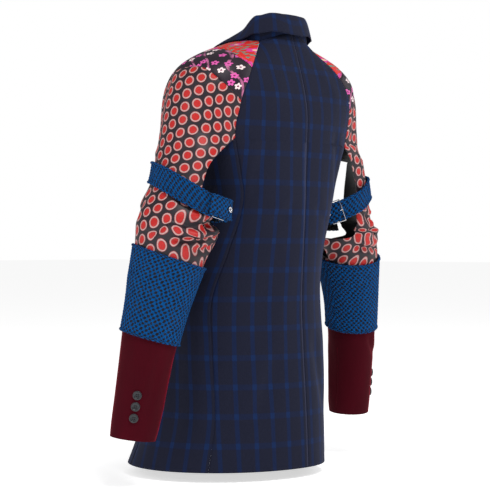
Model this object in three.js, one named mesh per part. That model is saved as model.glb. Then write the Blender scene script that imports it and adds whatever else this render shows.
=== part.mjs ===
// A long tailored blazer, hollow as worn, with saddle sleeves that are cut open at the inner back
// of the elbow.
// Millimetres. +Z is up, the garment faces -Y and its wearer's left is +X.
// The origin is the middle of the neck at the height where the shoulders carry the garment.
import * as THREE from 'three';
import { mergeVertices } from 'three/addons/utils/BufferGeometryUtils.js';

// Driving dimensions
const CLOTH = 2.0;
const TWEED = 3.0;
const SEAM_GAP = 0.3;
const SEAM_INSET = SEAM_GAP / 2 + 0.05;
const LAY_GAP = 0.4;
const FRONT_OVERLAP = 14;
const FRONT_LIFT = CLOTH + LAY_GAP + 0.5;
const OVERLAP = { full_x: 25, none_x: 70 };
const BREAK_Z = -330;
const RIDGE_Y = 0;
const ROLL_HEIGHT = 300;
const ROLL_REACH = 78;
const CUTAWAY = 26;
const CUTAWAY_Z = -470;
const CUTAWAY_HEIGHT = 260;
const LAPEL_WIDTH = 74;
const LAPEL_TOP_Z = -84;
const LAPEL_PEAK = 10;
const LAPEL_LIFT = CLOTH + LAY_GAP + 0.8;
const LAPEL_START = { left: 0.03, right: 0.17 };
const SADDLE_POWER = 0.96;
const SADDLE_GAP = 0.9;
const CHEST = { top_y: -58, low_y: -118, drop: 4, rows: 5 };
const COLLAR = {
  centre_y: -8,
  stand: 29,
  flatten: 0.85,
  stand_inset: -1.2,
  front_inset: 3.4,
  lean: 3,
  seam: 0.7,
  fold: 2.6,
  round_over: 1.5,
  spread: 13,
  front_spread: 0.8,
  crown: 0.35,
  cover: 6,
  shallow: 0.5,
  side_rise: 12,
  side_lift: 15,
};
const COLLAR_END_LEVELS = [0.25, 0.5, 0.8, 1.1, 1.4, 1.7];

const table = (columns, rows) => rows.map((row) => (
  Object.fromEntries(columns.split(' ').map((name, i) => [name, row[i]]))
));

// The saddle, a row for each line from the back seam over the shoulder ridge to the front seam.
// seam_x, back_y and seam_z place the back seam, front_x, front_y and front_z the front one.
// centre_z and centre_back are the back's middle line on the same row.
const SADDLE = table('seam_x seam_z back_y front_z front_y front_x ridge_x ridge_z centre_z centre_back', [
  [66, -11, 40, -38, -50, 66, 74, -7, 6, 57],
  [108, -47, 64, -64, -66, 108, 136, -27, -36, 70],
  [134, -82, 73, -91, -76, 137, 172, -43, -79, 82],
  [146, -108, 71, -113, -80, 150, 195, -60, -107, 88],
  [150, -132, 67, -134, -81, 155, 210, -88, -132, 91],
  [152, -156, 61, -156, -80, 157, 220, -124, -156, 91],
  [150, -178, 57.5, -178, -78.8, 156.7, 230, -166, -178, 90],
]);
const RED_ROWS = 1;
const PLUM_ROWS = 3;

// The arm, a row for each section: middle, half width, half depths to back and front, half width inwards,
// slope of the section, and the angles from the outer side where the cloth stops at back and front.
// The right arm hangs a little apart from the left one and is turned, so its last four columns are its own.
const ARM_COLUMNS = 'z x y out back front into slope '
  + 'cut_back cut_front right_x right_y right_back right_front';
const ARM = table(ARM_COLUMNS, [
  [-200, 181, 0, 58, 62, 74, 50, 0, 83, 66, 2, -2, 107, 1],
  [-222, 190, 1, 58, 60, 66, 51, 0.02, 69, 62, 3, -4, 105, 9],
  [-250, 201, 1, 58, 59, 62, 52, 0.06, 66, 60, 2, -5, 103, 18],
  [-276, 212, 0, 60, 60, 61, 56, 0.12, 71, 64, -2, -7, 107, 23],
  [-300, 224, 0, 61, 65, 61, 62, 0.2, 100, 94, -8, -10, 110, 29],
  [-320, 231, 0, 61, 68, 61, 68, 0.28, 134, 130, -9, -9, 124, 37],
  [-327, 233, -1, 61, 67, 61, 68, 0.3, 156, 154, -7, -8, 180, 38],
  [-336, 235, -2, 60, 64, 60, 66, 0.32, 180, 180, -3, -6, 180, 39],
  [-356, 238, -5, 57, 58, 56, 59, 0.34, 180, 180, 3, -2, 180, 47],
  [-366, 239.5, -6.5, 55.5, 56.5, 54.5, 56.5, 0.34, 180, 180, 4.5, -1, 180, 180],
  [-377, 241, -8, 54, 55, 53, 54, 0.34, 180, 180, 6, 0, 180, 180],
]);
const TUBE_COLUMNS = 'z x y out back front into slope right_x right_y';
const BAND = table(TUBE_COLUMNS, [
  [-372, 240.2, -7.2, 58.6, 60, 57.6, 60, 0.34, 5, 0],
  [-420, 249, -15, 54, 54, 54, 54, 0.32, 11, 2],
  [-460, 256, -21, 50, 50, 50, 50, 0.3, 14, 4],
  [-501, 263, -27, 48, 48, 48, 48, 0.28, 16, 4],
]);
const CUFF = table(TUBE_COLUMNS, [
  [-497, 262.3, -26.4, 44.5, 44.5, 44.5, 44.5, 0.28, 16, 4],
  [-550, 272, -31, 41, 42, 41, 41, 0.22, 11, 4],
  [-600, 280, -35, 39, 41, 39, 39, 0.17, 6, 3],
  [-640, 286, -38, 38, 40, 38, 38, 0.14, 2, 2],
  [-663, 290, -40, 36, 38, 36, 36, 0.12, 0, 2],
]);
// The sections of a sleeve slope down towards its inner back.
const SLOPE_OUT = 0.64;
const SLOPE_BACK = 0.77;

// The strap's middle line falls from the front edge of the cut-out to the inner side, then stays low.
// lift is its distance from the sleeve's own section, and it is sewn at the angles from and to.
const STRAP = { rise: 32, width: 35, lift: 5.8, inner_lift: 9, tuck: 9, tail_lift: 8.8, tail_inset: 1 };
const STRAP_RUN = {
  left: { middle_z: -266, lead: 50, from: -56, to: 272, hang_end: 175, tuck_end: 238, end_lift: 0 },
  right: { middle_z: -276, lead: -20, from: -8, to: 322, hang_end: 185, tuck_end: 262, end_lift: 9 },
};
// On each arm, the angles of the buckle's middle and of the free end that lies over it.
const FASTENING = {
  left: { buckle: 96, tail_from: 80, tail_to: 122, eyelet: 112 },
  right: { buckle: 144, tail_from: 139, tail_to: 170, eyelet: 154 },
};

// The body below the armholes: half widths, back and front depths, how square the section is,
// and the angles from the centre back of the two side seams.
const BODY = table('z left right back front power seam_back seam_front', [
  [-178, 175, 175, 90, -118, 2.8, 53.7, 121],
  [-230, 156, 156, 88, -130, 2.7, 53, 123],
  [-280, 144, 142, 87, -137, 2.6, 53, 127],
  [-360, 150, 134, 83, -144, 2.1, 60, 122],
  [-445, 162, 131, 79, -152, 2, 68, 118],
  [-520, 165, 139, 82, -168, 2, 66, 118],
  [-637, 174, 144, 89, -208, 2, 60, 118],
  [-728, 196, 148, 93, -246, 2, 58, 118],
]);
const ARMHOLE_DIP = 16;

const BUTTON = { radius: 7.3, depth: 2.6, pitch: 17.5, first_z: -591, angle: 37, seat: 0.4, count: 3 };
const FRONT_BUTTON = { radius: 10, depth: 3.2, seat: 0.5, z: [-352, -452] };
const BUCKLE = { long: 40, short: 24, wire: 1.6, seat: 2.55 };
const PRONG = { width: 1.8, depth: 1.2, seat: 1.3, play: 1 };
const EYELET = { outer: 5.2, inner: 2.4, depth: 1.2, seat: 1.9 };

const model = new THREE.Group();

const V = (x, y, z) => new THREE.Vector3(x, y, z);
const smooth = (t) => {
  const c = Math.min(1, Math.max(0, t));
  return c * c * (3 - 2 * c);
};
const rad = (degrees) => degrees * Math.PI / 180;
const signedPower = (value, power) => Math.sign(value) * Math.abs(value) ** power;

// One row of a table, read between its rows along a smooth curve.
function between(table, position) {
  const last = table.length - 1;
  const i = Math.min(last - 1, Math.max(0, Math.floor(position)));
  const t = position - i;
  const row = {};
  for (const key of Object.keys(table[0])) {
    const p1 = table[i][key];
    const p2 = table[i + 1][key];
    const p0 = i > 0 ? table[i - 1][key] : 2 * p1 - p2;
    const p3 = i + 1 < last ? table[i + 2][key] : 2 * p2 - p1;
    const m1 = (p2 - p0) / 2;
    const m2 = (p3 - p1) / 2;
    const t2 = t * t;
    const t3 = t2 * t;
    row[key] = (2 * t3 - 3 * t2 + 1) * p1 + (t3 - 2 * t2 + t) * m1 + (3 * t2 - 2 * t3) * p2 + (t3 - t2) * m2;
  }
  return row;
}

function range(from, to, steps) {
  return Array.from({ length: steps + 1 }, (_, i) => from + (to - from) * i / steps);
}

// Reads a body table at a height.
function atHeight(table, z) {
  let i = 0;
  while (i < table.length - 2 && z < table[i + 1].z) i += 1;
  const t = (z - table[i].z) / (table[i + 1].z - table[i].z);
  return between(table, i + t);
}

// A grid of cloth: rows of outer points, with the direction that points out of the cloth at each.
function clothGrid(rows, closed) {
  const grid = { rows, closed: closed || rows.map(() => false) };
  grid.out = rows.map((row) => row.map(() => V(0, 0, 0)));
  const wrap = (i, j) => (grid.closed[i] && j === rows[i].length - 1 ? 0 : j);
  for (let i = 0; i < rows.length - 1; i += 1) {
    for (let j = 0; j < rows[i].length - 1; j += 1) {
      const corners = [[i, j], [i, j + 1], [i + 1, j + 1], [i + 1, j]];
      const [a, b, c, d] = corners.map(([r, k]) => rows[r][k]);
      const face = c.clone().sub(a).cross(d.clone().sub(b));
      for (const [r, k] of corners) grid.out[r][wrap(r, k)].add(face);
    }
  }
  grid.out.forEach((row, i) => {
    row.forEach((n) => n.normalize());
    if (grid.closed[i]) row[row.length - 1] = row[0];
  });
  return grid;
}

// Two grids meet along a seam: both get the mean direction there, and stand a little apart.
function joinSeam(first, firstColumn, second, secondColumn, rowPairs) {
  for (const [i, k] of rowPairs) {
    const mean = first.out[i][firstColumn].clone().add(second.out[k][secondColumn]).normalize();
    first.out[i][firstColumn] = mean;
    second.out[k][secondColumn] = mean;
  }
}

function inset(grid, column, distance) {
  const step = column === 0 ? 1 : -1;
  grid.rows.forEach((row, i) => {
    if (grid.closed[i]) return;
    const at = column === 0 ? 0 : row.length - 1;
    const along = row[at + step].clone().sub(row[at]).normalize();
    row[at] = row[at].clone().addScaledVector(along, distance);
  });
}

function insetRow(grid, index, distance) {
  const row = grid.rows[index];
  const next = grid.rows[index === 0 ? 1 : index - 1];
  grid.rows[index] = row.map((p, j) => {
    const towards = next[j].clone().sub(p).normalize();
    return p.clone().addScaledVector(towards, distance);
  });
}

// The closed wall of a grid: outer points, inner points one cloth further in, and rims on every free edge.
function wall(grid, thickness) {
  const points = [];
  const ids = grid.rows.map((row, i) => row.map((p, j) => {
    if (grid.closed[i] && j === row.length - 1) return 0;
    points.push(p.x, p.y, p.z);
    const inner = p.clone().addScaledVector(grid.out[i][j], -thickness);
    points.push(inner.x, inner.y, inner.z);
    return points.length / 3 - 2;
  }));
  ids.forEach((row, i) => {
    if (grid.closed[i]) row[row.length - 1] = row[0];
  });
  const faces = [];
  const edges = new Map();
  const addTriangle = (a, b, c) => {
    faces.push(a, b, c, c + 1, b + 1, a + 1);
    for (const [s, e] of [[a, b], [b, c], [c, a]]) {
      if (!edges.delete(`${e},${s}`)) edges.set(`${s},${e}`, [s, e]);
    }
  };
  for (let i = 0; i < ids.length - 1; i += 1) {
    for (let j = 0; j < ids[i].length - 1; j += 1) {
      const a = ids[i][j];
      const b = ids[i][j + 1];
      const c = ids[i + 1][j + 1];
      const d = ids[i + 1][j];
      addTriangle(a, b, c);
      addTriangle(a, c, d);
    }
  }
  for (const [s, e] of edges.values()) faces.push(s, s + 1, e + 1, s, e + 1, e);
  const geometry = new THREE.BufferGeometry();
  geometry.setAttribute('position', new THREE.Float32BufferAttribute(points, 3));
  geometry.setIndex(faces);
  geometry.computeVertexNormals();
  return geometry;
}

function flipX(geometry) {
  const copy = geometry.clone();
  copy.scale(-1, 1, 1);
  const index = Array.from(copy.index.array);
  for (let i = 0; i < index.length; i += 3) [index[i], index[i + 1]] = [index[i + 1], index[i]];
  copy.setIndex(index);
  copy.computeVertexNormals();
  return copy;
}

const FINISH = {
  navy: { color: 0x24263a, roughness: 0.6, metalness: 0 },
  red: { color: 0xc62a30, roughness: 0.6, metalness: 0 },
  plum: { color: 0x2a1c2a, roughness: 0.55, metalness: 0 },
  dots: { color: 0x9a3036, roughness: 0.5, metalness: 0 },
  tweed: { color: 0x0c4f9a, roughness: 0.9, metalness: 0 },
  velvet: { color: 0x460814, roughness: 0.8, metalness: 0 },
  silver: { color: 0xc8c8cc, roughness: 0.25, metalness: 1 },
  button: { color: 0x2a2c30, roughness: 0.35, metalness: 0 },
};
function addPiece(name, geometry, finish) {
  const mesh = new THREE.Mesh(geometry, new THREE.MeshStandardMaterial(FINISH[finish]));
  mesh.name = name;
  model.add(mesh);
  return mesh;
}

// A point of the body's section at a height; the angle runs from the centre back to the centre front.
// Both halves are worked out on the +X side, and the right one is mirrored at the end.
function bodyPoint(z, angle, half) {
  const row = atHeight(BODY, z);
  const middle = (row.back + row.front) / 2;
  const depth = (row.back - row.front) / 2;
  const x = row[half] * Math.abs(Math.sin(rad(angle))) ** (2 / row.power);
  const y = middle + depth * signedPower(Math.cos(rad(angle)), 2 / row.power);
  return V(x, y, z);
}

// A point of the yoke at a saddle position; share runs from 0 at the centre line to 1 at the seam.
function yokePoint(position, share, front) {
  const row = between(SADDLE, position);
  const seamY = front ? row.front_y : row.back_y;
  const seamZ = front ? row.front_z : row.seam_z;
  const down = smooth(position / CHEST.rows);
  const middleY = front ? CHEST.top_y + (CHEST.low_y - CHEST.top_y) * down : row.centre_back;
  const middleZ = front ? row.front_z - CHEST.drop * (1 - down) : row.centre_z;
  const y = middleY + (seamY - middleY) * Math.abs(share) ** 2.6;
  const z = middleZ + (seamZ - middleZ) * Math.abs(share) ** 1.6;
  return V((front ? row.front_x : row.seam_x) * share, y, z);
}

const YOKE_STEPS = range(0, SADDLE.length - 1, 12);
const SKIRT_HEIGHTS = range(BODY[0].z, BODY.at(-1).z, 15).slice(1);
const PANEL_STEPS = range(0, 1, 7);

function backGrid(half) {
  const upper = YOKE_STEPS.map((position) => PANEL_STEPS.map((s) => yokePoint(position, s, false)));
  const lower = SKIRT_HEIGHTS.map((z) => {
    const seam = atHeight(BODY, z).seam_back;
    return PANEL_STEPS.map((s) => bodyPoint(z, seam * s, half));
  });
  return clothGrid([...upper, ...lower]);
}

// The armhole's lower edge dips between its two ends.
function sideGrid(half) {
  const rows = [BODY[0].z, ...SKIRT_HEIGHTS].map((z, i) => {
    const row = atHeight(BODY, z);
    return PANEL_STEPS.map((s) => {
      const dip = i === 0 ? ARMHOLE_DIP * Math.sin(Math.PI * s) : 0;
      return bodyPoint(z - dip, row.seam_back + (row.seam_front - row.seam_back) * s, half);
    });
  });
  return clothGrid(rows);
}

// The x of the front edge: the roll line above the break point, and a slight cutaway below.
function frontEdgeX(z) {
  const roll = Math.min(1, Math.max(0, (z - BREAK_Z) / ROLL_HEIGHT));
  const cutaway = CUTAWAY * smooth((CUTAWAY_Z - z) / CUTAWAY_HEIGHT);
  return -FRONT_OVERLAP + ROLL_REACH * roll ** 0.85 + cutaway;
}

// A level of the front is a saddle position above the armhole's end, or a height below it.
function frontPoint(level, x, half, lift) {
  if (level.position !== undefined) {
    const seamX = between(SADDLE, level.position).front_x;
    const point = yokePoint(level.position, x / seamX, true);
    point.y -= lift;
    return point;
  }
  const row = atHeight(BODY, level.z);
  const middle = (row.back + row.front) / 2;
  const depth = (row.back - row.front) / 2;
  const share = Math.min(1, Math.abs(x) / row[half]);
  return V(x, middle - depth * (1 - share ** row.power) ** (1 / row.power) - lift, level.z);
}
const FRONT_LEVELS = [
  ...YOKE_STEPS.map((position) => ({ position, height: between(SADDLE, position).front_z })),
  ...SKIRT_HEIGHTS.map((z) => ({ z, height: z })),
];
const overlapLift = (x, half) => (half === 'left'
  ? FRONT_LIFT * smooth((OVERLAP.none_x - x) / (OVERLAP.none_x - OVERLAP.full_x))
  : 0);

function frontGrid(half) {
  const rows = FRONT_LEVELS.map((level) => {
    const seamX = level.z === undefined
      ? between(SADDLE, level.position).front_x
      : bodyPoint(level.z, atHeight(BODY, level.z).seam_front, half).x;
    const edge = Math.min(frontEdgeX(level.height), seamX - 4);
    return PANEL_STEPS.map((s) => {
      const x = seamX + (edge - seamX) * s;
      return frontPoint(level, x, half, overlapLift(x, half));
    });
  });
  return clothGrid(rows);
}

// The lapel lies on the front from the roll line outwards, and ends at the notch.
function lapelGrid(half) {
  const riseAt = (level) => (level.height - BREAK_Z) / (LAPEL_TOP_Z - BREAK_Z);
  const levels = FRONT_LEVELS.filter((level) => riseAt(level) > LAPEL_START[half] && riseAt(level) <= 1);
  const rows = levels.map((level, i) => {
    const width = 5 + LAPEL_WIDTH * riseAt(level) ** 0.8;
    const start = frontEdgeX(level.height) + 1;
    return range(0, 1, 4).map((s) => {
      const x = start + width * s;
      const peak = i === 0 ? LAPEL_PEAK * s : 0;
      const point = frontPoint(level, x, half, overlapLift(x, half) + LAPEL_LIFT);
      point.z += peak;
      return point;
    });
  });
  const reversed = rows.map((row) => row.reverse());
  return clothGrid(reversed);
}

// A section of the arm from its row; the angle runs from the outer side, positive to the back.
function armPoint(row, angle, lift) {
  const c = Math.cos(rad(angle));
  const s = Math.sin(rad(angle));
  const dx = ((c > 0 ? row.out : row.into) + lift) * c;
  const dy = ((s > 0 ? row.back : row.front) + lift) * s;
  return V(row.x + dx, row.y + dy, row.z + row.slope * (SLOPE_OUT * dx - SLOPE_BACK * dy));
}

const SLEEVE_STEPS = range(0, 1, 20);
function saddleRow(position) {
  const row = between(SADDLE, position);
  const ridge = V(row.ridge_x, RIDGE_Y, row.ridge_z);
  return SLEEVE_STEPS.map((s) => {
    const angle = rad(90 - 180 * s);
    const middle = angle > 0 ? V(row.seam_x, RIDGE_Y, row.seam_z) : V(row.front_x, RIDGE_Y, row.front_z);
    const rise = ridge.clone().sub(middle);
    const reach = (angle > 0 ? row.back_y : row.front_y) - RIDGE_Y;
    const point = middle.clone().addScaledVector(rise, Math.max(0, Math.cos(angle)) ** SADDLE_POWER);
    point.y += reach * Math.abs(Math.sin(angle)) ** SADDLE_POWER;
    return point;
  });
}
function armRow(row) {
  const back = Math.min(180, row.cut_back ?? 180);
  const front = Math.min(180, row.cut_front ?? 180);
  return SLEEVE_STEPS.map((s) => armPoint(row, back - (back + front) * s, 0));
}

// The row of an arm table at one side: the right arm has its own hang and turn.
function onSide(row, half) {
  if (half === 'left') return row;
  return {
    ...row,
    x: row.x + row.right_x,
    y: row.y + row.right_y,
    cut_back: row.right_back,
    cut_front: row.right_front,
  };
}

// The saddle sleeve from the neck to the forearm band, split into its two patches and the long piece.
function sleeveGrids(half) {
  const saddle = (from, to) => {
    const inner = YOKE_STEPS.filter((p) => p > from + 0.2 && p < to - 0.2);
    return [from, ...inner, to].map(saddleRow);
  };
  const upper = saddle(PLUM_ROWS, SADDLE.length - 1);
  const arm = range(0, ARM.length - 1, 20).map((p) => onSide(between(ARM, p), half));
  const shut = (row) => row.cut_back > 179 && row.cut_front > 179;
  const red = saddle(0, RED_ROWS);
  const plum = saddle(RED_ROWS, PLUM_ROWS).slice(1);
  const rows = [...red, ...plum, ...upper.slice(1), ...arm.map(armRow)];
  const armStart = rows.length - arm.length;
  const closed = rows.map((row, i) => i >= armStart && shut(arm[i - armStart]));
  const whole = clothGrid(rows, closed);
  const slice = (from, to) => ({
    rows: whole.rows.slice(from, to).map((row) => [...row]),
    out: whole.out.slice(from, to),
    closed: closed.slice(from, to),
  });
  const redEnd = red.length;
  const plumEnd = redEnd + plum.length;
  return { red: slice(0, redEnd), plum: slice(redEnd - 1, plumEnd), sleeve: slice(plumEnd - 1) };
}

function tubeGrid(table, steps, half) {
  const rows = range(0, table.length - 1, steps).map((p) => armRow(onSide(between(table, p), half)));
  return clothGrid(rows, rows.map(() => true));
}

// A point of the strap round the elbow: it hangs off the inner back, and tucks in beside the body.
function strapPoint(angle, across, lift, half) {
  const run = STRAP_RUN[half];
  const fall = Math.cos(rad(Math.min(180, angle + run.lead)));
  const z = run.middle_z + STRAP.rise * fall + across;
  const row = { ...onSide(atHeight(ARM, z), half), slope: 0, z };
  const hang = STRAP.inner_lift * smooth((angle - 70) / 50) * smooth((run.hang_end - angle) / 40);
  const tuck = STRAP.tuck * smooth((angle - 160) / 25) * smooth((run.tuck_end - angle) / 25);
  const end = run.end_lift * smooth((angle - 208) / 40);
  return armPoint(row, angle, STRAP.lift + hang - tuck + end + lift);
}
function strapGrid(half) {
  const edge = STRAP.width / 2;
  const { from, to } = STRAP_RUN[half];
  return clothGrid(range(edge, -edge, 2).map((across) => (
    range(to, from, 28).map((angle) => strapPoint(angle, across, 0, half))
  )));
}

// The strap's free end, a short second layer that lies over the buckle's frame.
function tailGrid(half) {
  const edge = STRAP.width / 2 - STRAP.tail_inset;
  const { tail_from: from, tail_to: to } = FASTENING[half];
  const rows = range(edge, -edge, 2).map((across) => (
    range(to, from, 6).map((angle) => strapPoint(angle, across, STRAP.tail_lift, half))
  ));
  return clothGrid(rows);
}

// Places a piece that was made round the origin, facing +Z with its long side on Y, on the strap or cuff.
function seat(geometry, centre, outward, up) {
  const z = outward.clone().normalize();
  const x = up.clone().cross(z).normalize();
  const y = z.clone().cross(x);
  const frame = new THREE.Matrix4().makeBasis(x, y, z).setPosition(centre);
  return geometry.clone().applyMatrix4(frame);
}
function welded(geometry) {
  const plain = geometry.clone();
  plain.deleteAttribute('normal');
  plain.deleteAttribute('uv');
  const merged = mergeVertices(plain, 1e-4);
  merged.computeVertexNormals();
  return merged;
}

// A round button with a raised rim and a shallow dish.
function buttonShape({ radius, depth }) {
  const profile = [
    [0, 0], [0.8, 0], [1, 0.35], [1, 0.75], [0.9, 1], [0.78, 0.98], [0.6, 0.72], [0, 0.66],
  ].map(([r, h]) => new THREE.Vector2(r * radius, h * depth));
  const geometry = new THREE.LatheGeometry(profile, 20);
  geometry.rotateX(Math.PI / 2);
  return welded(geometry);
}

function ringShape(outer, inner, depth) {
  const shape = new THREE.Shape().absarc(0, 0, outer, 0, 2 * Math.PI, false);
  shape.holes.push(new THREE.Path().absarc(0, 0, inner, 0, 2 * Math.PI, true));
  return welded(new THREE.ExtrudeGeometry(shape, { depth, bevelEnabled: false, curveSegments: 12 }));
}

// The buckle's rectangular wire frame, its long side across the strap.
function frameShape({ long, short, wire }) {
  const rectangle = (path, x, y) => {
    path.moveTo(-x, -y);
    path.lineTo(x, -y);
    path.lineTo(x, y);
    path.lineTo(-x, y);
    path.closePath();
    return path;
  };
  const shape = rectangle(new THREE.Shape(), short / 2, long / 2);
  shape.holes.push(rectangle(new THREE.Path(), short / 2 - wire, long / 2 - wire));
  return welded(new THREE.ExtrudeGeometry(shape, { depth: wire, bevelEnabled: false }));
}

// The neckline runs from the centre back along the panels' top edges to the front edge.
function neckline() {
  const saddle = saddleRow(0);
  const points = [
    ...[0, 0.35, 0.7].map((s) => yokePoint(0, s, false)),
    ...[0, 4, 8, 10, 12, 16, 20].map((j) => saddle[j]),
    ...COLLAR_END_LEVELS.map((position) => {
      const x = frontEdgeX(between(SADDLE, position).front_z);
      return frontPoint({ position }, x, 'left', 0);
    }),
  ];
  const mirrored = points.slice(1).reverse().map((p) => V(-p.x, p.y, p.z));
  return new THREE.CatmullRomCurve3([...mirrored, ...points], false, 'centripetal');
}

// The stand rises inside the neckline to the fold, and the fall drops from the fold over the panels.
function collarGrids() {
  const curve = neckline();
  const columns = range(-1, 1, 28).map((c) => {
    const base = curve.getPointAt((c + 1) / 2);
    const centre = V(0, COLLAR.centre_y, base.z);
    const outward = base.clone().sub(centre).setZ(0).normalize();
    const front = smooth((Math.abs(c) - 0.45) / 0.55);
    const low = smooth((Math.abs(c) - 0.3) / 0.28);
    const beside = smooth(Math.abs(c) / 0.28) * (1 - smooth((Math.abs(c) - 0.3) / 0.16));
    const height = COLLAR.stand * (1 - COLLAR.flatten * low) + COLLAR.side_rise * beside;
    const cover = COLLAR.cover * (1 - COLLAR.shallow * low) - COLLAR.side_lift * beside;
    return { base, outward, front, height, cover };
  });
  const stand = range(1, 0, 3).map((h) => columns.map(({ base, outward, front, height }) => {
    const reach = COLLAR.stand_inset - COLLAR.front_inset * front - COLLAR.lean * h;
    const point = base.clone().addScaledVector(outward, reach);
    point.z += COLLAR.seam + height * h;
    return point;
  }));
  const fall = range(0, 1, 5).map((d) => columns.map(({ base, outward, front, height, cover }) => {
    const start = COLLAR.stand_inset - COLLAR.lean + COLLAR.round_over;
    const end = COLLAR.spread * (1 + COLLAR.front_spread * front);
    const reach = start + (end - start) * (COLLAR.crown * Math.sqrt(d) + (1 - COLLAR.crown) * d);
    const point = base.clone().addScaledVector(outward, reach);
    point.z += COLLAR.seam + COLLAR.fold + height - (height + cover) * d ** 1.15;
    return point;
  }));
  return { stand: clothGrid(stand), fall: clothGrid(fall) };
}

const pairs = (count, shift) => Array.from({ length: count }, (_, i) => [i + (shift || 0), i]);
const lastColumn = PANEL_STEPS.length - 1;
const yokeEnd = YOKE_STEPS.length - 1;
const sides = [['left', (geometry) => geometry], ['right', flipX]];

const { stand, fall } = collarGrids();
addPiece('collar_stand', wall(stand, CLOTH), 'navy');
addPiece('collar_fall', wall(fall, CLOTH), 'navy');

for (const [half, place] of sides) {
  const back = backGrid(half);
  const side = sideGrid(half);
  const front = frontGrid(half);
  const { red, plum, sleeve } = sleeveGrids(half);
  joinSeam(back, lastColumn, side, 0, pairs(SKIRT_HEIGHTS.length + 1, yokeEnd));
  joinSeam(front, 0, side, lastColumn, pairs(SKIRT_HEIGHTS.length + 1, yokeEnd));
  for (const row of back.out) row[0].setX(0).normalize();
  for (const grid of [back, side, front]) {
    inset(grid, 0, SEAM_INSET);
    inset(grid, 1, SEAM_INSET);
  }
  addPiece(`back_${half}`, place(wall(back, CLOTH)), 'navy');
  addPiece(`side_${half}`, place(wall(side, CLOTH)), 'navy');
  addPiece(`front_${half}`, place(wall(front, CLOTH)), 'navy');
  addPiece(`lapel_${half}`, place(wall(lapelGrid(half), CLOTH)), 'navy');

  for (const grid of [red, plum, sleeve]) {
    inset(grid, 0, SADDLE_GAP);
    inset(grid, 1, SADDLE_GAP);
  }
  insetRow(red, red.rows.length - 1, SEAM_INSET);
  insetRow(plum, 0, SEAM_INSET);
  insetRow(plum, plum.rows.length - 1, SEAM_INSET);
  insetRow(sleeve, 0, SEAM_INSET);
  addPiece(`shoulder_red_${half}`, place(wall(red, CLOTH)), 'red');
  addPiece(`shoulder_plum_${half}`, place(wall(plum, CLOTH)), 'plum');
  addPiece(`sleeve_${half}`, place(wall(sleeve, CLOTH)), 'dots');
  addPiece(`band_${half}`, place(wall(tubeGrid(BAND, 5, half), TWEED)), 'tweed');
  addPiece(`cuff_${half}`, place(wall(tubeGrid(CUFF, 5, half), CLOTH)), 'velvet');
  addPiece(`strap_${half}`, place(wall(strapGrid(half), TWEED)), 'tweed');

  addPiece(`tail_${half}`, place(wall(tailGrid(half), TWEED)), 'tweed');

  const onStrap = (angle, across, lift) => {
    const centre = strapPoint(angle, across, lift, half);
    const along = strapPoint(angle + 6, across, lift, half).sub(strapPoint(angle - 6, across, lift, half));
    const up = strapPoint(angle, across + 10, lift, half).sub(strapPoint(angle, across - 10, lift, half));
    const outward = up.clone().cross(along).normalize();
    return { centre, outward, up: along.clone().cross(outward) };
  };
  const buckle = onStrap(FASTENING[half].buckle, 0, BUCKLE.seat);
  const bar = seat(frameShape(BUCKLE), buckle.centre, buckle.outward, buckle.up);
  addPiece(`buckle_${half}`, place(bar), 'silver');
  const prongLong = BUCKLE.short - 2 * BUCKLE.wire - PRONG.play;
  const tongue = new THREE.BoxGeometry(prongLong, PRONG.width, PRONG.depth);
  const prongSeat = onStrap(FASTENING[half].buckle, 0, PRONG.seat);
  const prong = seat(welded(tongue), prongSeat.centre, buckle.outward, buckle.up);
  addPiece(`prong_${half}`, place(prong), 'silver');
  const eyelet = onStrap(FASTENING[half].eyelet, 0, STRAP.tail_lift + EYELET.seat);
  const ring = ringShape(EYELET.outer, EYELET.inner, EYELET.depth);
  addPiece(`eyelet_${half}`, place(seat(ring, eyelet.centre, eyelet.outward, eyelet.up)), 'silver');

  for (let n = 0; n < BUTTON.count; n += 1) {
    const z = BUTTON.first_z - n * BUTTON.pitch;
    const cuffAt = (height) => onSide(atHeight(CUFF, height), half);
    const centre = armPoint(cuffAt(z), BUTTON.angle, BUTTON.seat);
    const outward = V(Math.cos(rad(BUTTON.angle)), Math.sin(rad(BUTTON.angle)), 0);
    const up = armPoint(cuffAt(z + 10), BUTTON.angle, 0).sub(armPoint(cuffAt(z - 10), BUTTON.angle, 0));
    up.normalize();
    outward.addScaledVector(up, -outward.dot(up)).normalize();
    addPiece(`cuff_button_${half}_${n + 1}`, place(seat(buttonShape(BUTTON), centre, outward, up)), 'button');
  }
}

FRONT_BUTTON.z.forEach((z, n) => {
  const lift = overlapLift(0, 'left') + FRONT_BUTTON.seat;
  const centre = frontPoint({ z }, 0, 'left', lift);
  const up = frontPoint({ z: z + 10 }, 0, 'left', lift).sub(frontPoint({ z: z - 10 }, 0, 'left', lift));
  const outward = up.clone().cross(V(1, 0, 0)).negate();
  addPiece(`front_button_${n + 1}`, seat(buttonShape(FRONT_BUTTON), centre, outward, up), 'button');
});

export default model;
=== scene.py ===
# A long tailored blazer, worn with no wearer: checked wool, dotted silk sleeves cut open at the elbow,
# buckled tweed straps, tweed forearm bands and velvet cuffs.
import math

import bpy
import numpy as np
from mathutils import Euler, Matrix, Vector


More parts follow.
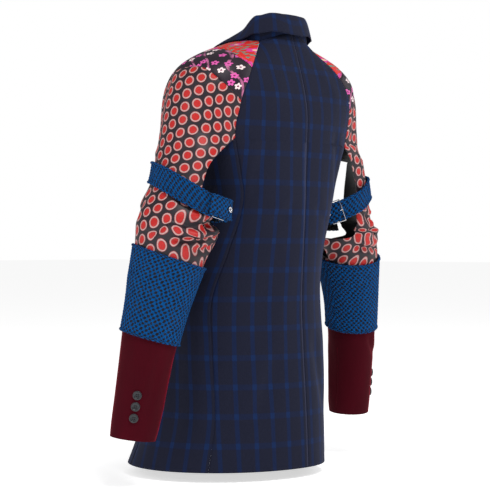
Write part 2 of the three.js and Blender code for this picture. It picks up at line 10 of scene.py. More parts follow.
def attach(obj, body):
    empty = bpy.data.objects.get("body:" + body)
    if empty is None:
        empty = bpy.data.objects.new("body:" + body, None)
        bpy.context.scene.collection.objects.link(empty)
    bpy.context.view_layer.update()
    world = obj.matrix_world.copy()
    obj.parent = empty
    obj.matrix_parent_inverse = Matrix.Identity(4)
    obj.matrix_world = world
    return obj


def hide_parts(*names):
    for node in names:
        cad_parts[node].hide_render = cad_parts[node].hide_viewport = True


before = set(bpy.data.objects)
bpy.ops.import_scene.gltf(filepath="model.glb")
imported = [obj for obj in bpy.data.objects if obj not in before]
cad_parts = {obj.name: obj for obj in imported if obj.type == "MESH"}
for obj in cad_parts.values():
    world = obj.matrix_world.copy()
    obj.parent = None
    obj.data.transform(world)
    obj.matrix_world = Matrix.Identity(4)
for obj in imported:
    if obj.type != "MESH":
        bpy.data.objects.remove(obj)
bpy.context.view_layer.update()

bpy.ops.object.select_all(action="DESELECT")

# Tables of the cut are in millimetres and degrees, as a tailor measures; meshes are made in metres.
MM = 0.001
CLOTH = 2.0
TWEED = 3.0
SEAM_GAP = 0.3
SEAM_INSET = SEAM_GAP / 2 + 0.05
PANEL_INSET = 0.03
SADDLE_GAP = 0.15
FRONT_OVERLAP = 14
FRONT_LIFT = 2.9
LAPEL_LIFT = 3.2


def table(columns, rows):
    """The columns of a table, by name."""
    names = columns.split()
    return {name: np.array([row[i] for row in rows], float) for i, name in enumerate(names)}


# The saddle, a row for each line from the back seam over the shoulder ridge to the front seam.
SADDLE = table("seam_x seam_z back_y front_x front_z front_y ridge_x ridge_z centre_z centre_back", [
    (66, -11, 40, 66, -38, -50, 74, -7, 6, 57),
    (108, -47, 64, 108, -64, -66, 136, -27, -36, 70),
    (134, -82, 73, 137, -91, -76, 172, -43, -79, 82),
    (146, -108, 71, 150, -113, -80, 195, -60, -107, 88),
    (150, -132, 67, 155, -134, -81, 210, -88, -132, 91),
    (152, -156, 61, 157, -156, -80, 220, -124, -156, 91),
    (150, -178, 57.5, 156.7, -178, -78.8, 230, -166, -178, 90),
])
# The arm, a row for each section. The right arm hangs a little apart and is turned, so its last columns
# are its own.
ARM_COLUMNS = "z x y out back front into slope cut_back cut_front right_x right_y right_back right_front"
ARM = table(ARM_COLUMNS, [
    (-200, 181, 0, 58, 62, 74, 50, 0, 83, 66, 2, -2, 107, 1),
    (-222, 190, 1, 58, 60, 66, 51, 0.02, 69, 62, 3, -4, 105, 9),
    (-250, 201, 1, 58, 59, 62, 52, 0.06, 66, 60, 2, -5, 103, 18),
    (-276, 212, 0, 60, 60, 61, 56, 0.12, 71, 64, -2, -7, 107, 23),
    (-300, 224, 0, 61, 65, 61, 62, 0.2, 100, 94, -8, -10, 110, 29),
    (-320, 231, 0, 61, 68, 61, 68, 0.28, 134, 130, -9, -9, 124, 37),
    (-327, 233, -1, 61, 67, 61, 68, 0.3, 156, 154, -7, -8, 180, 38),
    (-336, 235, -2, 60, 64, 60, 66, 0.32, 180, 180, -3, -6, 180, 39),
    (-356, 238, -5, 57, 58, 56, 59, 0.34, 180, 180, 3, -2, 180, 47),
    (-366, 239.5, -6.5, 55.5, 56.5, 54.5, 56.5, 0.34, 180, 180, 4.5, -1, 180, 180),
    (-377, 241, -8, 54, 55, 53, 54, 0.34, 180, 180, 6, 0, 180, 180),
])
TUBE_COLUMNS = "z x y out back front into slope right_x right_y"
BAND = table(TUBE_COLUMNS, [
    (-372, 240.2, -7.2, 58.6, 60, 57.6, 60, 0.34, 5, 0),
    (-420, 249, -15, 54, 54, 54, 54, 0.32, 11, 2),
    (-460, 256, -21, 50, 50, 50, 50, 0.3, 14, 4),
    (-501, 263, -27, 48, 48, 48, 48, 0.28, 16, 4),
])
CUFF = table(TUBE_COLUMNS, [
    (-497, 262.3, -26.4, 44.5, 44.5, 44.5, 44.5, 0.28, 16, 4),
    (-550, 272, -31, 41, 42, 41, 41, 0.22, 11, 4),
    (-600, 280, -35, 39, 41, 39, 39, 0.17, 6, 3),
    (-640, 286, -38, 38, 40, 38, 38, 0.14, 2, 2),
    (-663, 290, -40, 36, 38, 36, 36, 0.12, 0, 2),
])
# The body below the armholes.
BODY = table("z left right back front power seam_back seam_front", [
    (-178, 175, 175, 90, -118, 2.8, 53.7, 121),
    (-230, 156, 156, 88, -130, 2.7, 53, 123),
    (-280, 144, 142, 87, -137, 2.6, 53, 127),
    (-360, 150, 134, 83, -144, 2.1, 60, 122),
    (-445, 162, 131, 79, -152, 2.0, 68, 118),
    (-520, 165, 139, 82, -168, 2.0, 66, 118),
    (-637, 174, 144, 89, -208, 2.0, 60, 118),
    (-728, 196, 148, 93, -246, 2.0, 58, 118),
])
SADDLE_ROWS = len(SADDLE["seam_x"]) - 1
RED_ROWS = 1
PLUM_ROWS = 3


def smooth(t):
    c = np.clip(t, 0, 1)
    return c * c * (3 - 2 * c)


def signed_power(value, power):
    return np.sign(value) * np.abs(value) ** power


def between(rows, position):
    """A table read between its rows along a smooth curve."""
    position = np.asarray(position, float)
    last = len(next(iter(rows.values()))) - 1
    i = np.clip(np.floor(position).astype(int), 0, last - 1)
    t = position - i
    read = {}
    for name, values in rows.items():
        padded = np.concatenate([[2 * values[0] - values[1]], values, [2 * values[-1] - values[-2]]])
        before, here, there, after = (padded[i + k] for k in range(4))
        leave = (there - before) / 2
        arrive = (after - here) / 2
        read[name] = (
            (2 * t**3 - 3 * t**2 + 1) * here
            + (t**3 - 2 * t**2 + t) * leave
            + (3 * t**2 - 2 * t**3) * there
            + (t**3 - t**2) * arrive
        )
    return read


def at_height(rows, z):
    return between(rows, np.interp(-np.asarray(z, float), -rows["z"], np.arange(len(rows["z"]))))


def points(x, y, z):
    return np.stack(np.broadcast_arrays(x, y, z), axis=-1).astype(float)


def unit(vectors):
    return vectors / np.maximum(np.linalg.norm(vectors, axis=-1, keepdims=True), 1e-9)


# Surfaces of the body. Both halves are worked out on the +X side, and the right one is mirrored.
def body_point(z, angle, half):
    """A point of the body's section; the angle runs from the centre back to the centre front."""
    row = at_height(BODY, z)
    middle = (row["back"] + row["front"]) / 2
    depth = (row["back"] - row["front"]) / 2
    a = np.radians(angle)
    x = row[half] * np.abs(np.sin(a)) ** (2 / row["power"])
    y = middle + depth * signed_power(np.cos(a), 2 / row["power"])
    return points(x, y, z)


CHEST_TOP_Y = -58
CHEST_LOW_Y = -118
CHEST_DROP = 4


def yoke_point(position, share, front):
    """A point of the yoke; share runs from 0 at the centre line to 1 at the saddle's seam."""
    row = between(SADDLE, position)
    down = smooth(np.asarray(position) / 5)
    if front:
        seam_x, seam_y, seam_z = row["front_x"], row["front_y"], row["front_z"]
        middle_y = CHEST_TOP_Y + (CHEST_LOW_Y - CHEST_TOP_Y) * down
        middle_z = seam_z - CHEST_DROP * (1 - down)
    else:
        seam_x, seam_y, seam_z = row["seam_x"], row["back_y"], row["seam_z"]
        middle_y, middle_z = row["centre_back"], row["centre_z"]
    y = middle_y + (seam_y - middle_y) * np.abs(share) ** 2.6
    z = middle_z + (seam_z - middle_z) * np.abs(share) ** 1.6
    return points(seam_x * share, y, z)


PANEL_COLUMNS = 41
YOKE_STEPS = np.linspace(0, SADDLE_ROWS, 49)
SKIRT_HEIGHTS = np.linspace(BODY["z"][0], BODY["z"][-1], 129)[1:]


def back_points(half):
    shares = np.linspace(0, 1, PANEL_COLUMNS)[None, :]
    upper = yoke_point(YOKE_STEPS[:, None], shares, False)
    heights = SKIRT_HEIGHTS[:, None]
    lower = body_point(heights, at_height(BODY, heights)["seam_back"] * shares, half)
    return np.concatenate([upper, lower])


ARMHOLE_DIP = 16
ARMHOLE_RUN = 60


def side_points(half):
    shares = np.linspace(0, 1, PANEL_COLUMNS)[None, :]
    heights = np.concatenate([[BODY["z"][0]], SKIRT_HEIGHTS])[:, None]
    row = at_height(BODY, heights)
    fade = np.clip(1 - (heights[0] - heights) / ARMHOLE_RUN, 0, 1) ** 2
    dip = ARMHOLE_DIP * np.sin(np.pi * shares) * fade
    angle = row["seam_back"] + (row["seam_front"] - row["seam_back"]) * shares
    return body_point(heights - dip, angle, half)


BREAK_Z = -330
ROLL_HEIGHT = 300
ROLL_REACH = 78
CUTAWAY = 26
CUTAWAY_Z = -470
CUTAWAY_HEIGHT = 260


def front_edge_x(z):
    """The roll line above the break point, and a slight cutaway below."""
    roll = np.clip((z - BREAK_Z) / ROLL_HEIGHT, 0, 1)
    return -FRONT_OVERLAP + ROLL_REACH * roll**0.85 + CUTAWAY * smooth((CUTAWAY_Z - z) / CUTAWAY_HEIGHT)


def front_level(position, z):
    """One level of the front: a saddle position above the armhole's end, or a height below it."""
    return {"position": position, "z": z}


FRONT_LEVELS = [
    front_level(p, float(between(SADDLE, p)["front_z"])) for p in YOKE_STEPS
] + [front_level(None, z) for z in SKIRT_HEIGHTS]


def front_row(level, x, half, lift):
    if level["position"] is not None:
        seam_x = between(SADDLE, level["position"])["front_x"]
        row = yoke_point(level["position"], x / seam_x, True)
        row[..., 1] -= lift
        return row
    row = at_height(BODY, level["z"])
    middle = (row["back"] + row["front"]) / 2
    depth = (row["back"] - row["front"]) / 2
    share = np.minimum(1, np.abs(x) / row[half])
    y = middle - depth * (1 - share ** row["power"]) ** (1 / row["power"]) - lift
    return points(x, y, level["z"])


def overlap_lift(x, half):
    return FRONT_LIFT * smooth((70 - x) / 45) if half == "left" else 0 * x


def front_points(half):
    shares = np.linspace(0, 1, PANEL_COLUMNS)
    rows = []
    for level in FRONT_LEVELS:
        if level["position"] is not None:
            seam_x = float(between(SADDLE, level["position"])["front_x"])
        else:
            seam_x = float(body_point(level["z"], at_height(BODY, level["z"])["seam_front"], half)[0])
        edge = min(front_edge_x(level["z"]), seam_x - 4)
        x = seam_x + (edge - seam_x) * shares
        rows.append(front_row(level, x, half, overlap_lift(x, half)))
    return np.array(rows)


LAPEL_WIDTH = 74
LAPEL_TOP_Z = -84
LAPEL_PEAK = 10
LAPEL_ROLL = 1.6
LAPEL_START = {"left": 0.03, "right": 0.17}


def lapel_points(half):
    """The lapel lies on the front from the roll line outwards, and ends at the notch."""
    rows = []
    for level in FRONT_LEVELS:
        rise = (level["z"] - BREAK_Z) / (LAPEL_TOP_Z - BREAK_Z)
        if not LAPEL_START[half] < rise <= 1:
            continue
        width = 5 + LAPEL_WIDTH * rise**0.8
        shares = np.linspace(1, 0, 25)
        x = front_edge_x(level["z"]) + 1 + width * shares
        row = front_row(level, x, half, overlap_lift(x, half) + LAPEL_LIFT)
        if not rows:
            row[..., 2] += LAPEL_PEAK * shares
        rows.append(row)
    return np.array(rows)


# Surfaces of the sleeve and what is round it.
def arm_point(row, angle, lift):
    """A point of the arm's section; the angle runs from the outer side, positive to the back."""
    c = np.cos(np.radians(angle))
    s = np.sin(np.radians(angle))
    dx = (np.where(c > 0, row["out"], row["into"]) + lift) * c
    dy = (np.where(s > 0, row["back"], row["front"]) + lift) * s
    z = row["z"] + row["slope"] * (0.64 * dx - 0.77 * dy)
    return points(row["x"] + dx, row["y"] + dy, z)


def on_side(row, half):
    """The row of an arm table at one side: the right arm has its own hang and twist."""
    if half == "left":
        return row
    moved = dict(row, x=row["x"] + row["right_x"], y=row["y"] + row["right_y"])
    if "right_back" in row:
        moved["cut_back"] = row["right_back"]
        moved["cut_front"] = row["right_front"]
    return moved


SADDLE_POWER = 0.96


def saddle_points(positions, shares):
    row = between(SADDLE, positions)
    angle = np.radians(90 - 180 * shares)
    behind = angle > 0
    middle_x = np.where(behind, row["seam_x"], row["front_x"])
    middle_z = np.where(behind, row["seam_z"], row["front_z"])
    reach = np.where(behind, row["back_y"], row["front_y"])
    up = np.maximum(0, np.cos(angle)) ** SADDLE_POWER
    x = middle_x + (row["ridge_x"] - middle_x) * up
    z = middle_z + (row["ridge_z"] - middle_z) * up
    return points(x, reach * np.abs(np.sin(angle)) ** SADDLE_POWER, z)


def arm_points(rows, shares):
    row = {name: values[:, None] for name, values in rows.items()}
    back = np.minimum(180, row["cut_back"])
    front = np.minimum(180, row["cut_front"])
    outer_share = back / (back + front)
    return arm_point(row, back - (back + front) * shares[None, :], 0), outer_share


# The patches' seams drop towards the back and front seams, by this much of a row of the saddle.
PATCH_DROP = 0.4
ARM_AXIS = (0.25, -0.025, -0.968)
ARMPIT_ROWS = 6


def sleeve_points(half):
    """The sleeve's points from neck to band, and how far each lies across and along the cloth."""
    shares = np.linspace(0, 1, 121)
    steps = YOKE_STEPS[:, None]
    fade = smooth(steps) * smooth((SADDLE_ROWS - steps) / 2)
    drop = PATCH_DROP * smooth((np.abs(shares - 0.5)[None, :] - 0.05) / 0.3)
    saddle = saddle_points(steps + fade * drop, shares[None, :])
    arm_rows = on_side(between(ARM, np.linspace(0, len(ARM["z"]) - 1, 64)), half)
    arm, outer_share = arm_points(arm_rows, shares)
    steps = np.linspace(0, 1, ARMPIT_ROWS + 1)[1:-1, None, None]
    armpit = saddle[-1:] * (1 - steps) + arm[:1] * steps
    whole = np.concatenate([saddle, armpit, arm])
    middles = np.full((len(saddle) + len(armpit), 1), 0.5)
    ramp = np.linspace(0.5, outer_share[0, 0], ARMPIT_ROWS + 1)[1:-1]
    middles[len(saddle):, 0] = ramp
    outer_share = np.concatenate([middles, outer_share])
    arc = arc_along(whole, 1)
    across = np.array([row - np.interp(share, shares, row) for row, share in zip(arc, outer_share[:, 0])])
    along = whole @ np.array(ARM_AXIS)
    top = len(saddle) - 1
    steps_down = np.linalg.norm(np.diff(whole[:top + 1], axis=0), axis=-1)
    climbed = np.cumsum(steps_down[::-1], axis=0)[::-1]
    along[:top] = along[top] - climbed
    return whole, across, along


def tube_points(rows, half, steps, columns=121):
    angles = 180 - 360 * np.linspace(0, 1, columns)
    read = on_side(between(rows, np.linspace(0, len(rows["z"]) - 1, steps)), half)
    return arm_point({name: values[:, None] for name, values in read.items()}, angles[None, :], 0)


STRAP_RISE = 32
STRAP_WIDTH = 32
STRAP_LIFT = 5.8
STRAP_INNER_LIFT = 9
STRAP_TUCK = 9
# Angles round the arm where the strap starts to hang off, to tuck in and to end, and over how much of it.
HANG_FROM = 70
HANG_RISE = 50
HANG_FALL = 40
TUCK_FROM = 160
TUCK_RUN = 25
END_FROM = 208
END_RUN = 40
# The strap falls from the front edge of the cut-out to the inner side, then stays low.
STRAP_RUN = {
    "left": {
        "middle_z": -266, "lead": 50, "from": -56, "to": 272,
        "hang_end": 175, "tuck_end": 238, "end_lift": 0,
    },
    "right": {
        "middle_z": -276, "lead": -20, "from": -8, "to": 322,
        "hang_end": 185, "tuck_end": 262, "end_lift": 9,
    },
}
TAIL_LIFT = 8.8
FASTENING = {
    "left": {"buckle": 96, "tail_from": 80, "tail_to": 122, "eyelet": 112},
    "right": {"buckle": 144, "tail_from": 139, "tail_to": 170, "eyelet": 154},
}


def strap_point(angle, across, lift, half):
    """A point of the strap round the elbow: it hangs off the inner back, and tucks in beside the body."""
    run = STRAP_RUN[half]
    fall = np.cos(np.radians(np.minimum(180, angle + run["lead"])))
    z = run["middle_z"] + STRAP_RISE * fall + across
    row = dict(on_side(at_height(ARM, z), half), slope=0, z=z)
    hang = smooth((angle - HANG_FROM) / HANG_RISE) * smooth((run["hang_end"] - angle) / HANG_FALL)
    tuck = smooth((angle - TUCK_FROM) / TUCK_RUN) * smooth((run["tuck_end"] - angle) / TUCK_RUN)
    end = run["end_lift"] * smooth((angle - END_FROM) / END_RUN)
    off = STRAP_LIFT + STRAP_INNER_LIFT * hang - STRAP_TUCK * tuck + end
    return arm_point(row, angle, off + lift)


def strap_points(half):
    edge = STRAP_WIDTH / 2
    across = np.linspace(edge, -edge, 26)[:, None]
    run = STRAP_RUN[half]
    return strap_point(np.linspace(run["to"], run["from"], 321)[None, :], across, 0, half)


def tail_points(half):
    edge = STRAP_WIDTH / 2 - 1
    across = np.linspace(edge, -edge, 26)[:, None]
    ends = FASTENING[half]
    angles = np.linspace(ends["tail_to"], ends["tail_from"], 46)[None, :]
    return strap_point(angles, across, TAIL_LIFT, half)


# Cloth as a thin shell: a grid of points with its own pattern coordinates, creased, then given a wall.
def arc_along(grid, axis):
    steps = np.linalg.norm(np.diff(grid, axis=axis), axis=-1)
    zero = np.zeros_like(np.take(steps, [0], axis=axis))
    return np.concatenate([zero, np.cumsum(steps, axis=axis)], axis=axis)


def outward(grid):
    """The direction out of the cloth at each point; a tube's two end columns share theirs."""
    along_u = np.gradient(grid, axis=1)
    shut = np.linalg.norm(grid[:, 0] - grid[:, -1], axis=-1) < 0.01
    across_joint = (grid[:, 1] - grid[:, -2]) / 2
    along_u[shut, 0] = across_joint[shut]
    along_u[shut, -1] = across_joint[shut]
    return unit(np.cross(along_u, np.gradient(grid, axis=0)))


GATHER = 0.75


def crease(u, v, fold):
    """A soft trough, or a ridge where its height is positive, from one point of the cloth to another."""
    u0, v0, u1, v1, height, width, bend = fold
    run = math.hypot(u1 - u0, v1 - v0)
    along_u = (u1 - u0) / run
    along_v = (v1 - v0) / run
    t = ((u - u0) * along_u + (v - v0) * along_v) / run
    off = (u - u0) * along_v - (v - v0) * along_u + bend * 4 * t * (1 - t)
    taper = smooth(t / 0.3) * smooth((1 - t) / 0.3)
    trough = np.exp(-((off / width) ** 2))
    swell = 0.45 * np.exp(-(((off - 1.9 * width) / (1.2 * width)) ** 2))
    return height * taper * (trough - swell)


def gathered(u, v, fold):
    """How far a fold takes the pattern in on both its sides, across and along the cloth."""
    u0, v0, u1, v1, height, width, bend = fold
    run = math.hypot(u1 - u0, v1 - v0)
    along_u = (u1 - u0) / run
    along_v = (v1 - v0) / run
    t = ((u - u0) * along_u + (v - v0) * along_v) / run
    off = ((u - u0) * along_v - (v - v0) * along_u + bend * 4 * t * (1 - t)) / width
    taken = GATHER * abs(height) * off * np.exp(-(off**2) / 6) * smooth(t / 0.3) * smooth((1 - t) / 0.3)
    return np.stack([along_v * taken, -along_u * taken], axis=-1)


def make_mesh(name, vertices, faces, face_uv, materials):
    mesh = bpy.data.meshes.new(name)
    mesh.from_pydata([tuple(v) for v in vertices], [], faces)
    if face_uv is not None:
        layer = mesh.uv_layers.new(name="UVMap")
        layer.data.foreach_set("uv", np.asarray(face_uv, float).ravel())
    for material in materials:
        mesh.materials.append(material)
    mesh.polygons.foreach_set("use_smooth", [True] * len(mesh.polygons))
    piece = bpy.data.objects.new(name, mesh)
    bpy.context.scene.collection.objects.link(piece)
    return piece


def merge_doubles(piece, distance=0.00002):
    bpy.context.view_layer.objects.active = piece
    piece.select_set(True)
    bpy.ops.object.mode_set(mode="EDIT")
    bpy.ops.mesh.select_all(action="SELECT")
    bpy.ops.mesh.remove_doubles(threshold=distance)
    bpy.ops.object.mode_set(mode="OBJECT")
    piece.select_set(False)


def add_modifier(piece, kind, **settings):
    modifier = piece.modifiers.new(kind.title(), kind)
    for name, value in settings.items():
        setattr(modifier, name, value)
    return modifier


def place(grid, half):
    """Millimetres on the +X side to metres on the piece's own side."""
    side = np.array([1 if half == "left" else -1, 1, 1])
    return grid * side * MM


def grid_faces(rows, columns, flip):
    corner = np.arange(rows * columns).reshape(rows, columns)
    quads = np.stack([corner[:-1, :-1], corner[1:, :-1], corner[1:, 1:], corner[:-1, 1:]], axis=-1)
    quads = quads.reshape(-1, 4)
    return quads if flip else quads[:, ::-1]


def cloth(name, grid, uv, half, materials, thickness=CLOTH):
    """A piece of cloth on its outer face's points, with the lining's colour on its inner face."""
    rows, columns = grid.shape[:2]
    faces = grid_faces(rows, columns, half == "right")
    vertices = place(grid, half).reshape(-1, 3)
    face_uv = (uv.reshape(-1, 2) * MM)[faces.ravel()]
    piece = make_mesh(name, vertices, faces.tolist(), face_uv, materials)
    merge_doubles(piece)
    add_modifier(
        piece, "SOLIDIFY", thickness=thickness * MM, offset=-1, use_rim=True,
        material_offset=len(materials) - 1, material_offset_rim=0,
    )
    return piece


SEAM_HOLD = 26


def creased(grid, u, v, folds, relief=0, hold=1):
    lift = relief + hold * sum((crease(u, v, fold) for fold in folds), 0 * u)
    return grid + outward(grid) * lift[..., None]


def seam_hold(across):
    """0 at a panel's side edges and 1 inside, so that folds die out at the seams."""
    return smooth(across / SEAM_HOLD) * smooth((across[:, -1:] - across) / SEAM_HOLD)


def declare(piece, nodes):
    """Hangs the piece from the root and hides the parts of the model that it stands for."""
    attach(piece, "root")
    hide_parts(*nodes)


# Materials. Colours are sRGB hex values, turned to linear by one function.
def linear(hex_colour):
    parts = [int(hex_colour[i:i + 2], 16) / 255 for i in (1, 3, 5)]
    return tuple(c / 12.92 if c <= 0.04045 else ((c + 0.055) / 1.055) ** 2.4 for c in parts) + (1,)


def add(tree, kind, inputs=None, out=0, **settings):
    """Adds a node with its settings and links, and gives the socket that it puts out."""
    node = tree.nodes.new(kind)
    for name, value in settings.items():
        setattr(node, name, value)
    for key, value in (inputs or {}).items():
        if isinstance(value, bpy.types.NodeSocket):
            tree.links.new(value, node.inputs[key])
        else:
            node.inputs[key].default_value = value
    return node.outputs[out] if len(node.outputs) else None


MATH = "ShaderNodeMath"


def new_material(name):
    material = bpy.data.materials.new(name)
    material.use_nodes = True
    tree = material.node_tree
    tree.nodes.clear()
    return material, tree


def finish_material(tree, colour, normal=None, **numbers):
    """The shader: linked colour and bump, and plain numbers on its own sockets."""
    inputs = {key.replace("_", " "): value for key, value in numbers.items()}
    inputs["Base Color"] = colour
    if normal is not None:
        inputs["Normal"] = normal
    shader = add(tree, "ShaderNodeBsdfPrincipled", inputs)
    add(tree, "ShaderNodeOutputMaterial", {"Surface": shader})


def pattern_place(tree):
    """The pattern coordinates of the cloth, in metres."""
    return add(tree, "ShaderNodeUVMap", uv_map="UVMap")


def pattern_axes(tree):
    """The pattern coordinates of the cloth, and their parts across and along it."""
    uv = pattern_place(tree)
    across = add(tree, "ShaderNodeSeparateXYZ", {0: uv}, out=0)
    along = across.node.outputs[1]
    return uv, across, along


def mix_colour(tree, factor, first, second, blend="MIX"):
    inputs = {0: factor, 6: first, 7: second}
    return add(tree, "ShaderNodeMix", inputs, out=2, data_type="RGBA", blend_type=blend)


def stripe(tree, coordinate, pitch, width, soft=0.0008):
    """1 on each stripe of a repeat and 0 between them; sizes in metres."""
    away = add(tree, MATH, {0: coordinate, 1: pitch / 2}, operation="PINGPONG")
    ends = {
        "Value": away, "From Min": width / 2 - soft, "From Max": width / 2 + soft,
        "To Min": 1.0, "To Max": 0.0,
    }
    return add(tree, "ShaderNodeMapRange", ends, interpolation_type="SMOOTHSTEP")


def stretched_noise(tree, vector, scale_across, scale_along, detail=2.0):
    """Noise drawn out along the threads; the scales are repeats in a metre."""
    scaled = add(tree, "ShaderNodeMapping", {"Vector": vector, "Scale": (scale_across, scale_along, 1)})
    return add(tree, "ShaderNodeTexNoise", {"Vector": scaled, "Scale": 1.0, "Detail": detail})


def twill(tree, uv, pitch):
    """Fine diagonal ribs of a twill, a pitch in metres apart."""
    turned = add(tree, "ShaderNodeMapping", {"Vector": uv, "Rotation": (0, 0, math.radians(58))})
    return add(tree, "ShaderNodeTexWave", {"Vector": turned, "Scale": 0.314 / pitch, "Distortion": 1.2,
                                           "Detail": 1.0, "Detail Scale": 2.0})


# Worsted wool suiting, woven in a fine twill and pressed: dull, with a faint bloom at grazing light.
CHECK_ACROSS = 0.0315
CHECK_ALONG = 0.0485
CHECK_STRIPE = 0.0075
CHECK_BAND = 0.0095


def wool_check():
    material, tree = new_material("worsted_wool_check")
    uv, across, along = pattern_axes(tree)
    thread = stretched_noise(tree, uv, 900, 120)
    cast = stretched_noise(tree, uv, 14, 9)
    # The real threads, 0.4 mm apart, are too fine to show, so the twill is drawn at 2.2 mm.
    rib = twill(tree, uv, 0.0022)
    ground = mix_colour(tree, thread, linear("#0E1324"), linear("#1E1E30"))
    ground = mix_colour(tree, cast, ground, linear("#161A2C"))
    down = stripe(tree, across, CHECK_ACROSS, CHECK_STRIPE)
    over = stripe(tree, along, CHECK_ALONG, CHECK_BAND)
    worn = add(tree, "ShaderNodeMapRange", {"Value": thread, "To Min": 0.45, "To Max": 1.0})
    down_seen = add(tree, MATH, {0: down, 1: worn}, operation="MULTIPLY")
    over_part = add(tree, MATH, {0: over, 1: 0.5}, operation="MULTIPLY")
    over_seen = add(tree, MATH, {0: over_part, 1: worn}, operation="MULTIPLY")
    crossing = add(tree, MATH, {0: down, 1: over}, operation="MULTIPLY")
    striped = mix_colour(tree, over_seen, ground, linear("#0D1F44"))
    striped = mix_colour(tree, down_seen, striped, linear("#0D1E42"))
    striped = mix_colour(tree, crossing, striped, linear("#0E244C"))
    bump = add(tree, "ShaderNodeBump", {"Strength": 0.25, "Distance": 0.0004, "Height": rib})
    finish_material(tree, striped, bump, Roughness=0.85, Sheen_Weight=0.12, Sheen_Roughness=0.4,
                    Sheen_Tint=linear("#8C94C8"), Specular_IOR_Level=0.15)
    return material


def black_lining():
    """Black acetate satin: smooth, with a soft gleam."""
    material, tree = new_material("acetate_lining")
    uv = pattern_place(tree)
    thread = stretched_noise(tree, uv, 700, 60)
    colour = mix_colour(tree, thread, linear("#060608"), linear("#121216"))
    bump = add(tree, "ShaderNodeBump", {"Strength": 0.1, "Distance": 0.0002, "Height": thread})
    finish_material(tree, colour, bump, Roughness=0.42)
    return material


# Jacquard silk with woven rings: smooth floats that gleam a little more than the ground between them.
DOT_ACROSS = 0.0205
DOT_ALONG = 0.022
DOT_SHIFT = -0.33


def lattice_distance(tree, across, along, pitch_across, pitch_along, shift):
    """The distance in metres from the nearest point of a lattice whose rows are each shifted a little."""
    row_place = add(tree, MATH, {0: along, 1: pitch_along}, operation="DIVIDE")
    row = add(tree, MATH, {0: row_place}, operation="FLOOR")
    shifted = add(tree, MATH, {0: row, 1: pitch_across * shift, 2: across}, operation="MULTIPLY_ADD")
    off_across = add(tree, MATH, {0: shifted, 1: pitch_across / 2}, operation="PINGPONG")
    off_across = add(tree, MATH, {0: pitch_across / 2, 1: off_across}, operation="SUBTRACT")
    in_row = add(tree, MATH, {0: along, 1: pitch_along / 2}, operation="PINGPONG")
    off_along = add(tree, MATH, {0: pitch_along / 2, 1: in_row}, operation="SUBTRACT")
    offset = add(tree, "ShaderNodeCombineXYZ", {0: off_across, 1: off_along})
    return add(tree, "ShaderNodeVectorMath", {0: offset}, out=1, operation="LENGTH")


def ring_mask(tree, distance, inner, outer, soft=0.0004):
    start = {"Value": distance, "From Min": inner - soft, "From Max": inner + soft}
    end = {
        "Value": distance, "From Min": outer - soft, "From Max": outer + soft,
        "To Min": 1.0, "To Max": 0.0,
    }
    rise = add(tree, "ShaderNodeMapRange", start, interpolation_type="SMOOTHSTEP")
    fall = add(tree, "ShaderNodeMapRange", end, interpolation_type="SMOOTHSTEP")
    return add(tree, MATH, {0: rise, 1: fall}, operation="MULTIPLY")


def dot_silk():
    material, tree = new_material("jacquard_silk_rings")
    uv, across, along = pattern_axes(tree)
    # The float threads, 0.3 mm apart, are drawn at about 1.5 mm so that they show.
    thread = stretched_noise(tree, uv, 650, 1500)
    wander = stretched_noise(tree, uv, 120, 120)
    distance = lattice_distance(tree, along, across, DOT_ALONG, DOT_ACROSS, DOT_SHIFT)
    ragged = add(tree, "ShaderNodeMapRange", {"Value": wander, "To Min": -0.0006, "To Max": 0.0006})
    distance = add(tree, MATH, {0: distance, 1: ragged}, operation="ADD")
    core = ring_mask(tree, distance, -0.01, 0.0060)
    ring = ring_mask(tree, distance, 0.0062, 0.0084)
    outline = ring_mask(tree, distance, 0.0084, 0.0090)
    ground = mix_colour(tree, thread, linear("#0C090E"), linear("#322A32"))
    red = mix_colour(tree, thread, linear("#7E0812"), linear("#E0302A"))
    pale = mix_colour(tree, thread, linear("#8E5A58"), linear("#E6BEBA"))
    colour = mix_colour(tree, outline, ground, linear("#7C2028"))
    colour = mix_colour(tree, ring, colour, pale)
    colour = mix_colour(tree, core, colour, red)
    raised = add(tree, MATH, {0: core, 1: ring}, operation="ADD")
    height = add(tree, MATH, {0: thread, 1: 0.6, 2: raised}, operation="MULTIPLY_ADD")
    bump = add(tree, "ShaderNodeBump", {"Strength": 0.35, "Distance": 0.0004, "Height": height})
    finish_material(tree, colour, bump, Roughness=0.45, Specular_IOR_Level=0.3)
    return material


def scattered_cells(tree, uv, pitch, randomness):
    """Scattered places a pitch apart in metres: the offset from the nearest, how far it is, its colour."""
    spots = add(tree, "ShaderNodeTexVoronoi", {"Vector": uv, "Scale": 1 / pitch, "Randomness": randomness},
                voronoi_dimensions="2D")
    node = spots.node
    offset = add(tree, "ShaderNodeVectorMath", {0: uv, 1: node.outputs["Position"]}, operation="SUBTRACT")
    return offset, node.outputs["Distance"], node.outputs["Color"]


def petals(tree, offset, radius, count, hollow):
    """1 inside a flower of round petals of that radius in metres, and 0 outside."""
    x = add(tree, "ShaderNodeSeparateXYZ", {0: offset})
    y = x.node.outputs[1]
    angle = add(tree, MATH, {0: y, 1: x}, operation="ARCTAN2")
    turn = add(tree, MATH, {0: angle, 1: count / 2}, operation="MULTIPLY")
    wave = add(tree, MATH, {0: turn}, operation="COSINE")
    lobe = add(tree, MATH, {0: wave}, operation="ABSOLUTE")
    reach = add(tree, MATH, {0: lobe, 1: radius * hollow, 2: radius * (1 - hollow)}, operation="MULTIPLY_ADD")
    away = add(tree, "ShaderNodeVectorMath", {0: offset}, out=1, operation="LENGTH")
    inside = add(tree, MATH, {0: reach, 1: away}, operation="SUBTRACT")
    return add(tree, "ShaderNodeMapRange", {"Value": inside, "From Min": -0.0004, "From Max": 0.0004},
               interpolation_type="SMOOTHSTEP")


